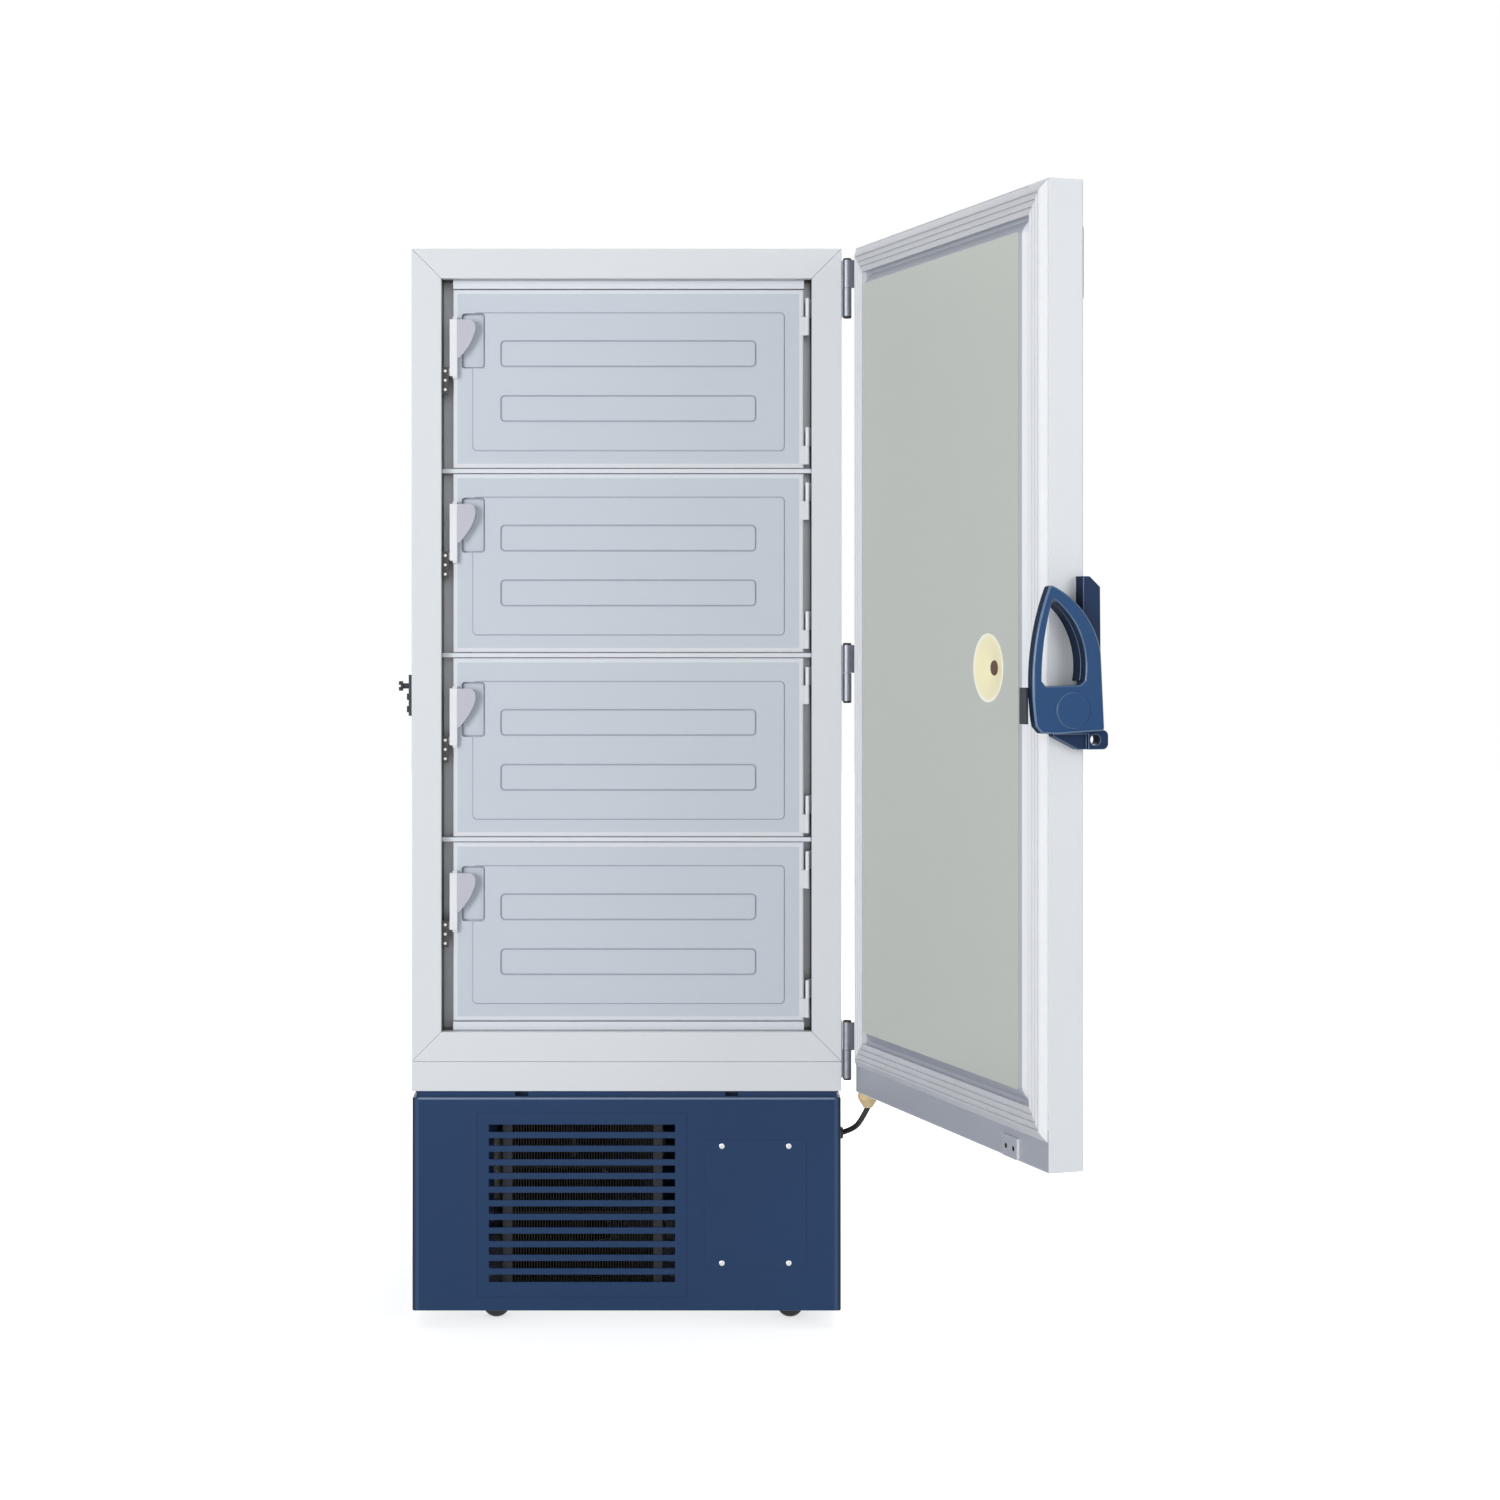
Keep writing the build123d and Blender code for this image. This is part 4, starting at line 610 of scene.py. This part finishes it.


# Near-black fins: painted shade, not the colour of the aluminium.
fin_aluminium = skin_look("fin_aluminium", (0.036, 0.035, 0.034), roughness=0.5, tone=0.6, tone_size=60)
fins = plate("condenser_fins", COIL_LOW, (COIL_LOW[0] + FIN_THICK, COIL_HIGH[1], COIL_HIGH[2]))
edit(fins)
pick_faces(fins, lambda face: abs(face.normal.x) > FACING)
bpy.ops.mesh.subdivide(number_cuts=FIN_CUTS)
settle(fins)
rows = fins.modifiers.new("rows", "ARRAY")
rows.use_relative_offset = False
rows.use_constant_offset = True
rows.constant_offset_displace = (FIN_PITCH, 0, 0)
rows.count = int((COIL_HIGH[0] - COIL_LOW[0]) / FIN_PITCH) + 1
bpy.ops.object.modifier_apply(modifier="rows")
coat(fins, fin_aluminium)
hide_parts("condenser")
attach(fins, "cabinet")

# Dark brown copper: painted shade, not the colour of clean copper tube.
copper = skin_look("copper_tube_painted_shade", (0.055, 0.034, 0.026), roughness=0.45, tone=0.4, tone_size=60)
coil_y = (COIL_LOW[1] + COIL_HIGH[1]) / 2
bend_out = (TUBE_HEIGHTS[1] - TUBE_HEIGHTS[0]) / 4
coil_path = []
for level, height in enumerate(TUBE_HEIGHTS):
    ends = [(COIL_LOW[0], coil_y, height), (COIL_HIGH[0], coil_y, height)]
    way = bend_out
    if level % 2 == 1:
        ends.reverse()
        way = -bend_out
    coil_path += ends
    if level + 1 < len(TUBE_HEIGHTS):
        rise = (TUBE_HEIGHTS[level + 1] - height) / 2
        for step in range(1, BEND_STEPS):
            turn = math.pi * step / BEND_STEPS
            bend_x = ends[1][0] + way * math.sin(turn)
            coil_path.append((bend_x, coil_y, height + rise - rise * math.cos(turn)))
coil = swept(line_through("condenser_tube", coil_path, "POLY"), TUBE_RADIUS, TUBE_ROUND)
coat(coil, copper)
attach(coil, "cabinet")

# The cheeks' dark blue-grey is made darker still: painted shade.
cheek_grey_painted_shade = skin_look("cheek_grey_painted_shade", (0.026, 0.034, 0.048), roughness=0.5, tone=0.2, tone_size=30)
cheeks = []
for side, edge in ((-1, COIL_LOW[0] - 2 * CHEEK_THICK), (1, COIL_HIGH[0] + CHEEK_THICK)):
    cheek = plate("cheek", (edge, *COIL_LOW[1:]), (edge + CHEEK_THICK, *COIL_HIGH[1:]))
    drawn_out(cheek, lambda face: face.normal.y < -FACING, (0, -CHEEK_THICK, 0))
    drawn_out(
        cheek,
        lambda face: side * face.normal.x > FACING and face.center.y < COIL_LOW[1],
        (side * CHEEK_FLANGE, 0, 0),
    )
    cheeks.append(cheek)
cheek_pair = join(cheeks, "condenser_cheeks")
coat(cheek_pair, cheek_grey_painted_shade)
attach(cheek_pair, "cabinet")


# Fan, compressors and control box: a black enamelled shroud and motor, two black compressor
# cans, and a plastic rotor and box, all standing on the floor pan behind the condenser.
can_black = skin_look("can_black", (0.012, 0.012, 0.014), roughness=0.4, tone=0.2, tone_size=12)
dress(can_black, "fan_shroud", "fan_motor", "compressors")
dress(black_plastic, "fan_rotor", "control_box")


# The cabinet: white enamelled sheet folded round rigid foam, closed in front by a frame
# of four mitred bars and a rail. The steel liner inside has a stepped mouth, whose front part
# is coloured near black: painted shade in the gaps beside the inner doors.
MOUTH_PAINTED_SHADE = (0.035, 0.036, 0.040)
MOUTH_BACK = 0.080
MOUTH_SOFT = 0.0005

white_enamel = skin_look(
    "white_enamel", (0.715, 0.740, 0.765), roughness=0.38, tone=0.025, tone_size=2, gloss_drift=0.08,
    grain_size=420, grain_depth=0.00005, specular=0.3,
)
dress(white_enamel, "outer_casing")
eased("front_frame", "front_frame_bars", white_enamel, width=0.0010)
liner_steel = skin_look(
    "liner_steel", (0.30, 0.31, 0.33), roughness=0.38, tone=0.1, tone_size=4, grain_size=500,
    metallic=1.0,
)
# Painted shade: the liner's front 80 mm, seen in the gaps round the inner doors, is coloured near black.
mouth_shade_mask = beyond(liner_steel, FRONT, -MOUTH_BACK, -MOUTH_BACK + MOUTH_SOFT)
banded(liner_steel, MOUTH_PAINTED_SHADE, mouth_shade_mask)
dress(liner_steel, "inner_liner")
foam_look = skin_look(
    "rigid_foam", (0.72, 0.60, 0.30), roughness=0.85, tone=0.3, tone_size=60, grain_size=700,
    grain_depth=0.0004,
)
dress(foam_look, "insulation_foam", "door_insulation")
dress(black_plastic, "rear_spacers")


# Shelves: pale coated steel trays whose front ribs show as strips between the inner doors.
# Soft grey seals on the step of the liner's mouth meet the backs of the doors.
shelf_white = skin_look("shelf_white", (0.72, 0.75, 0.80), roughness=0.4, tone=0.04, tone_size=10)
dress(shelf_white, "shelves")
seal_grey = skin_look("seal_grey", (0.62, 0.64, 0.67), roughness=0.6, tone=0.1, tone_size=40)
dress(seal_grey, "inner_door_seals")


# Inner doors: four moulded pale grey plastic shells filled with foam, embossed with a border
# and two ribs and lighter on their outline, with painted shade in the grooves. They turn on
# white brackets at the right.
INNER_DOORS = (1, 2, 3, 4)
DOOR_GREY = (0.550, 0.598, 0.660)
DOOR_RIM = (0.70, 0.72, 0.76)
FITTING_WHITE = (0.78, 0.80, 0.82)
EDGE_SOFT = 0.0002
RIM_WIDTH = 0.0085
BARREL_EDGE = 0.1565
PANEL_SPAN = (-0.455, 0.125)
RIB_SPAN = (-0.401, 0.0713)
RIB_RISE = (0.080, 0.240)
STEP_FRONT = 0.03515
STEP_BACK = 0.0380
STEP_TURN = 0.98
FLOOR_BACK = 0.0362


def door_plastic(node):
    """Pale grey moulding, lighter on the door's outline and on its hinge barrels."""
    look = skin_look(
        f"{node}_plastic", DOOR_GREY, roughness=0.42, tone=0.03, tone_size=5, gloss_drift=0.08,
        grain_size=800, grain_depth=0.00008,
    )
    low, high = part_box(node)
    rim = None
    for way, edge in ((RIGHT, BARREL_EDGE), (LEFT, -low[0]), (UP, high[2]), (DOWN, -low[2])):
        side = beyond(look, way, edge - RIM_WIDTH, edge - RIM_WIDTH + EDGE_SOFT)
        rim = side if rim is None else joined(look, "MAXIMUM", rim, side)
    banded(look, DOOR_RIM, rim)
    return look


def shade_grooves(piece, low):
    """Gives the pressed grooves and the step round the raised panel a darker grey: painted shade."""
    piece.data.materials.append(groove_painted_shade)
    corners = piece.data.vertices
    for face in piece.data.polygons:
        spots = [corners[index].co for index in face.vertices]
        on_panel = all(PANEL_SPAN[0] < spot.x < PANEL_SPAN[1] for spot in spots)
        on_step = on_panel and STEP_FRONT < face.center.y < STEP_BACK and face.normal.y > -STEP_TURN
        on_floor = all(
            RIB_SPAN[0] < spot.x < RIB_SPAN[1]
            and FLOOR_BACK < spot.y < STEP_BACK
            and RIB_RISE[0] < spot.z - low < RIB_RISE[1]
            for spot in spots
        )
        if on_step or on_floor:
            face.material_index = 1


# Painted shade for the grooves and steps of the inner doors.
groove_painted_shade = skin_look("groove_painted_shade", (0.40, 0.44, 0.51), roughness=0.45, tone=0.06, tone_size=20)
latch_white = skin_look("latch_white", FITTING_WHITE, roughness=0.35, tone=0.04, tone_size=40)
for number in INNER_DOORS:
    node = f"inner_door_{number}"
    shell = eased(node, f"inner_door_shell_{number}", door_plastic(node), width=0.0008)
    shade_grooves(shell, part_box(node)[0][2])
dress(latch_white, "inner_hinge_brackets")


# Inner latches: a white moulded latch with a grey paddle turns at the left of each inner door
# and closes on a dark keeper, which three bright screws hold in the gap beside the doors.
PADDLE_GREY = (0.51, 0.51, 0.57)
STRIP_EDGE = -0.4790
KEEPER_SCREW = 0.003
KEEPER_PLACE = (-0.50035, 0.02749, 0.13588)
KEEPER_RISES = (0.0075, 0.0245, 0.0415)

latch_plastic = skin_look("latch_plastic", FITTING_WHITE, roughness=0.35, tone=0.04, tone_size=40)
paddle_mask = beyond(latch_plastic, RIGHT, STRIP_EDGE, STRIP_EDGE + EDGE_SOFT)
banded(latch_plastic, PADDLE_GREY, paddle_mask)
keeper_dark = skin_look("keeper_dark", (0.05, 0.05, 0.055), roughness=0.35, tone=0.6, tone_size=90)
keeper_spots = []
for number in INNER_DOORS:
    eased(f"inner_latch_{number}", f"pull_latch_{number}", latch_plastic, width=0.0008)
    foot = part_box(f"inner_door_{number}")[0][2] + KEEPER_PLACE[2]
    keeper_spots += [(KEEPER_PLACE[0], KEEPER_PLACE[1], foot + rise) for rise in KEEPER_RISES]
dress(keeper_dark, "latch_keepers")
cross_screws("keeper_screw_heads", keeper_spots, KEEPER_SCREW)


# Outer hinges: three pairs of zinc-plated steel leaves on the right side, with barrels
# turning on pins. Black plastic caps close the upper and lower end of each barrel.
HINGE_AXIS = (0.234895, 0.01829)
HINGE_MIDDLES = (1.900, 1.197545, 0.509)
HINGE_HALF = 0.051
CAP_RADIUS = 0.0079
CAP_RISE = 0.004
CAP_ROLL = 0.7
CAP_STEPS = 3
CAP_SMOOTH = math.radians(40)

hinge_zinc = skin_look(
    "hinge_zinc", (0.24, 0.255, 0.29), roughness=0.38, tone=0.5, tone_size=70, gloss_drift=0.3,
    metallic=1.0,
)
dress(hinge_zinc, "cabinet_hinge_leaves", "door_hinge_leaves")
cap_shifts = [(0, 0, middle - HINGE_MIDDLES[0]) for middle in HINGE_MIDDLES[1:]]
for body, way in (("cabinet", DOWN), ("outer_door", UP)):
    cap_height = HINGE_MIDDLES[0] + way[2] * HINGE_HALF + way[2] * CAP_RISE / 2
    cap = domed((*HINGE_AXIS, cap_height), (0, 0, 0), CAP_RADIUS, CAP_RISE, way, CAP_ROLL, CAP_STEPS)
    caps = row_of(cap, cap_shifts, f"hinge_caps_{body}")
    bpy.ops.object.shade_smooth_by_angle(angle=CAP_SMOOTH)
    coat(caps, black_plastic)
    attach(caps, body)


# Outer door: a white folded skin over foam, closed inside by a grey moulded liner with a
# raised plug and a grey-green field sheet. Along the door's free edge the liner has a paler
# band, a painted highlight where the plug's slope faces the light.
DOOR_TURN = math.radians(-72)
DOOR_WAY = Vector((math.cos(DOOR_TURN), math.sin(DOOR_TURN), 0))
FREE_HIGHLIGHT_BAND = 0.069
GASKET_LOW = 0.500
FREE_EDGE_HIGHLIGHT = (0.74, 0.76, 0.80)

dress(white_enamel, "door_skin")
liner_grey = skin_look("door_liner_grey", (0.375, 0.395, 0.445), roughness=0.42, tone=0.04, tone_size=5)
free_edge = max(corner.co.dot(DOOR_WAY) for corner in parts["door_liner"].data.vertices)
# Painted highlight: a paler band on the liner near the free edge, above the gasket's lower run.
beside = beyond(liner_grey, DOOR_WAY, free_edge - FREE_HIGHLIGHT_BAND, free_edge - FREE_HIGHLIGHT_BAND + EDGE_SOFT)
above = beyond(liner_grey, UP, GASKET_LOW, GASKET_LOW + EDGE_SOFT)
banded(liner_grey, FREE_EDGE_HIGHLIGHT, joined(liner_grey, "MULTIPLY", beside, above))
dress(liner_grey, "door_liner")
field_grey = skin_look("field_grey_green", (0.525, 0.550, 0.503), roughness=0.38, tone=0.03, tone_size=3)
dress(field_grey, "door_field")


# The gasket: a ribbed pale extrusion pressed into the door liner all round and welded at its
# four corners. Its runs at the top and the bottom are coloured greyer than the upright ones:
# painted shade.
gasket_pale = skin_look("gasket_pale", (0.83, 0.84, 0.86), roughness=0.45, tone=0.05, tone_size=30)
gasket_painted_shade = skin_look("gasket_painted_shade", (0.56, 0.57, 0.60), roughness=0.45, tone=0.08, tone_size=30)
gasket = eased("door_gasket", "gasket_profile", gasket_pale, width=0.0004)
gasket.data.materials.append(gasket_painted_shade)
reaches = [corner.co.dot(DOOR_WAY) for corner in gasket.data.vertices]
heights = [corner.co.z for corner in gasket.data.vertices]
sides = (min(reaches), max(reaches))
ends = (min(heights), max(heights))
# Faces nearer the top or bottom end than a side get the painted shade.
for face in gasket.data.polygons:
    along = face.center.dot(DOOR_WAY)
    to_side = min(along - sides[0], sides[1] - along)
    to_end = min(face.center.z - ends[0], ends[1] - face.center.z)
    if to_end < to_side:
        face.material_index = 1


# Relief port and cable gland: a cream moulded cup with a brown core, let into the field sheet,
# with a painted highlight on its raised rim, and a tan plastic gland for the door cable under
# the door's lower edge.
INWARD = Vector((DOOR_WAY.y, -DOOR_WAY.x, 0))
PORT_FLOOR = (0.431467, -0.560809, 1.213)
PORT_CORE = 0.0123
PORT_BROWN = (0.10, 0.035, 0.02)
PORT_RIM = (-0.2262, -0.2248)
PORT_RIM_HIGHLIGHT = (0.97, 0.95, 0.80)


def within(look, spot, radius):
    """A mask that is 1 nearer to a spot than the radius."""
    tree = look.node_tree
    place = add_node(tree, "ShaderNodeTexCoord")
    away = add_node(tree, "ShaderNodeVectorMath", "DISTANCE", values={1: spot})
    near = add_node(tree, "ShaderNodeMath", "LESS_THAN", values={1: radius})
    tree.links.new(place.outputs["Object"], away.inputs[0])
    tree.links.new(away.outputs["Value"], near.inputs[0])
    return near.outputs["Value"]


cream_plastic = skin_look("cream_plastic", (0.68, 0.52, 0.28), roughness=0.5, tone=0.06, tone_size=30)
dress(cream_plastic, "cable_gland")
port_cream = skin_look("port_cream", (0.93, 0.87, 0.56), roughness=0.45, tone=0.12, tone_size=18)
banded(port_cream, PORT_BROWN, within(port_cream, PORT_FLOOR, PORT_CORE))
# Painted highlight: the raised rim of the cup is coloured paler.
banded(port_cream, PORT_RIM_HIGHLIGHT, beyond(port_cream, INWARD, *PORT_RIM))
eased("relief_port", "port_cup", port_cream, width=0.0012)


# The sensor plate: a small grey plate with two holes, fixed on the lower band of the door's
# inner side, below the gasket. Its holes are coloured near black, painted shade, and its end
# face paler, a painted highlight.
PLATE_HOLES = ((0.70669, 0.452), (0.73369, 0.452))
HOLE_REACH = 0.0047
PLATE_END = 0.746

plate_grey = skin_look("plate_grey", (0.40, 0.42, 0.46), roughness=0.45, tone=0.06, tone_size=40)
hole_painted_shade = skin_look("hole_painted_shade", (0.02, 0.02, 0.023), roughness=0.5, tone=0.1, tone_size=40)
plate_end_highlight = skin_look("plate_end_highlight", (0.80, 0.81, 0.83), roughness=0.4, tone=0.04, tone_size=40)
sensor_plate = eased("sensor_plate", "sensor_plate_cover", plate_grey, width=0.0003)
sensor_plate.data.materials.append(hole_painted_shade)
sensor_plate.data.materials.append(plate_end_highlight)
# Faces near the holes get the painted shade, and faces at the plate's end get the painted highlight.
for face in sensor_plate.data.polygons:
    along = face.center.dot(DOOR_WAY)
    to_holes = [math.hypot(along - spot, face.center.z - height) for spot, height in PLATE_HOLES]
    if min(to_holes) < HOLE_REACH:
        face.material_index = 1
    elif along > PLATE_END:
        face.material_index = 2


# The control panel on the front of the outer door: a dark moulded plastic bezel on the
# skin round a glossy display window, with a column of four grey keys that press in.
KEYS = (1, 2, 3, 4)

bezel_grey = skin_look("bezel_grey", (0.045, 0.052, 0.065), roughness=0.45, tone=0.1, tone_size=20)
dress(bezel_grey, "control_bezel")
window_black = skin_look(
    "window_black", (0.008, 0.01, 0.013), roughness=0.08, tone=0.1, gloss_drift=0.02, grain_depth=0.0,
)
dress(window_black, "display_window")
key_grey = skin_look("key_grey", (0.50, 0.53, 0.57), roughness=0.45, tone=0.06, tone_size=60)
for number in KEYS:
    eased(f"panel_button_{number}", f"key_{number}", key_grey, width=0.0008)


# The handle: a blue moulded bracket with a padlock eye on the door's free edge, a blue pull
# lever with a finger loop turning on it, and a dark hook that drops behind the striker,
# which is screwed to the left side of the cabinet.
EDGE_TURN = (0.25, 0.93)
FLANK_TURN = 0.6


def handle_plastic(name, colour, roughness, specular):
    """A grained blue moulding with a given strength of reflection."""
    return skin_look(
        name, colour, roughness, tone=0.12, tone_size=8, gloss_drift=0.12,
        grain_size=1500, grain_depth=0.00012, specular=specular,
    )


def flank_shade_and_edge_highlight(piece):
    """Paints shade on the flanks that face the cabinet and a highlight on the outer face's rounded
    edges.
    """
    piece.data.materials.append(handle_flank_shade)
    piece.data.materials.append(handle_edge_highlight)
    for face in piece.data.polygons:
        turned = face.normal.dot(DOOR_WAY)
        if EDGE_TURN[0] < turned < EDGE_TURN[1]:
            face.material_index = 2
        elif turned < EDGE_TURN[0] and face.normal.dot(INWARD) > FLANK_TURN:
            face.material_index = 1


handle_blue = handle_plastic("handle_blue", (0.018, 0.066, 0.176), roughness=0.30, specular=0.12)
stand_blue = handle_plastic("stand_blue", (0.009, 0.028, 0.080), roughness=0.35, specular=0.12)
# Painted shade for the handle's flanks and a painted highlight for its rounded edges.
handle_flank_shade = handle_plastic("handle_flank_shade", (0.008, 0.019, 0.047), roughness=0.5, specular=0.1)
handle_edge_highlight = handle_plastic("handle_edge_highlight", (0.085, 0.150, 0.260), roughness=0.22, specular=0.5)
flank_shade_and_edge_highlight(eased("handle_bracket", "handle_stand", stand_blue, width=0.0020))
flank_shade_and_edge_highlight(eased("handle_lever", "pull_lever", handle_blue, width=0.0020, segments=3))
hook_grey = skin_look("hook_grey", (0.018, 0.022, 0.032), roughness=0.5, tone=0.15, tone_size=30)
eased("latch_hook", "drop_hook", hook_grey, width=0.0015)
striker_dark = skin_look("striker_dark", (0.022, 0.026, 0.04), roughness=0.4, tone=0.2, tone_size=30)
dress(striker_dark, "striker")
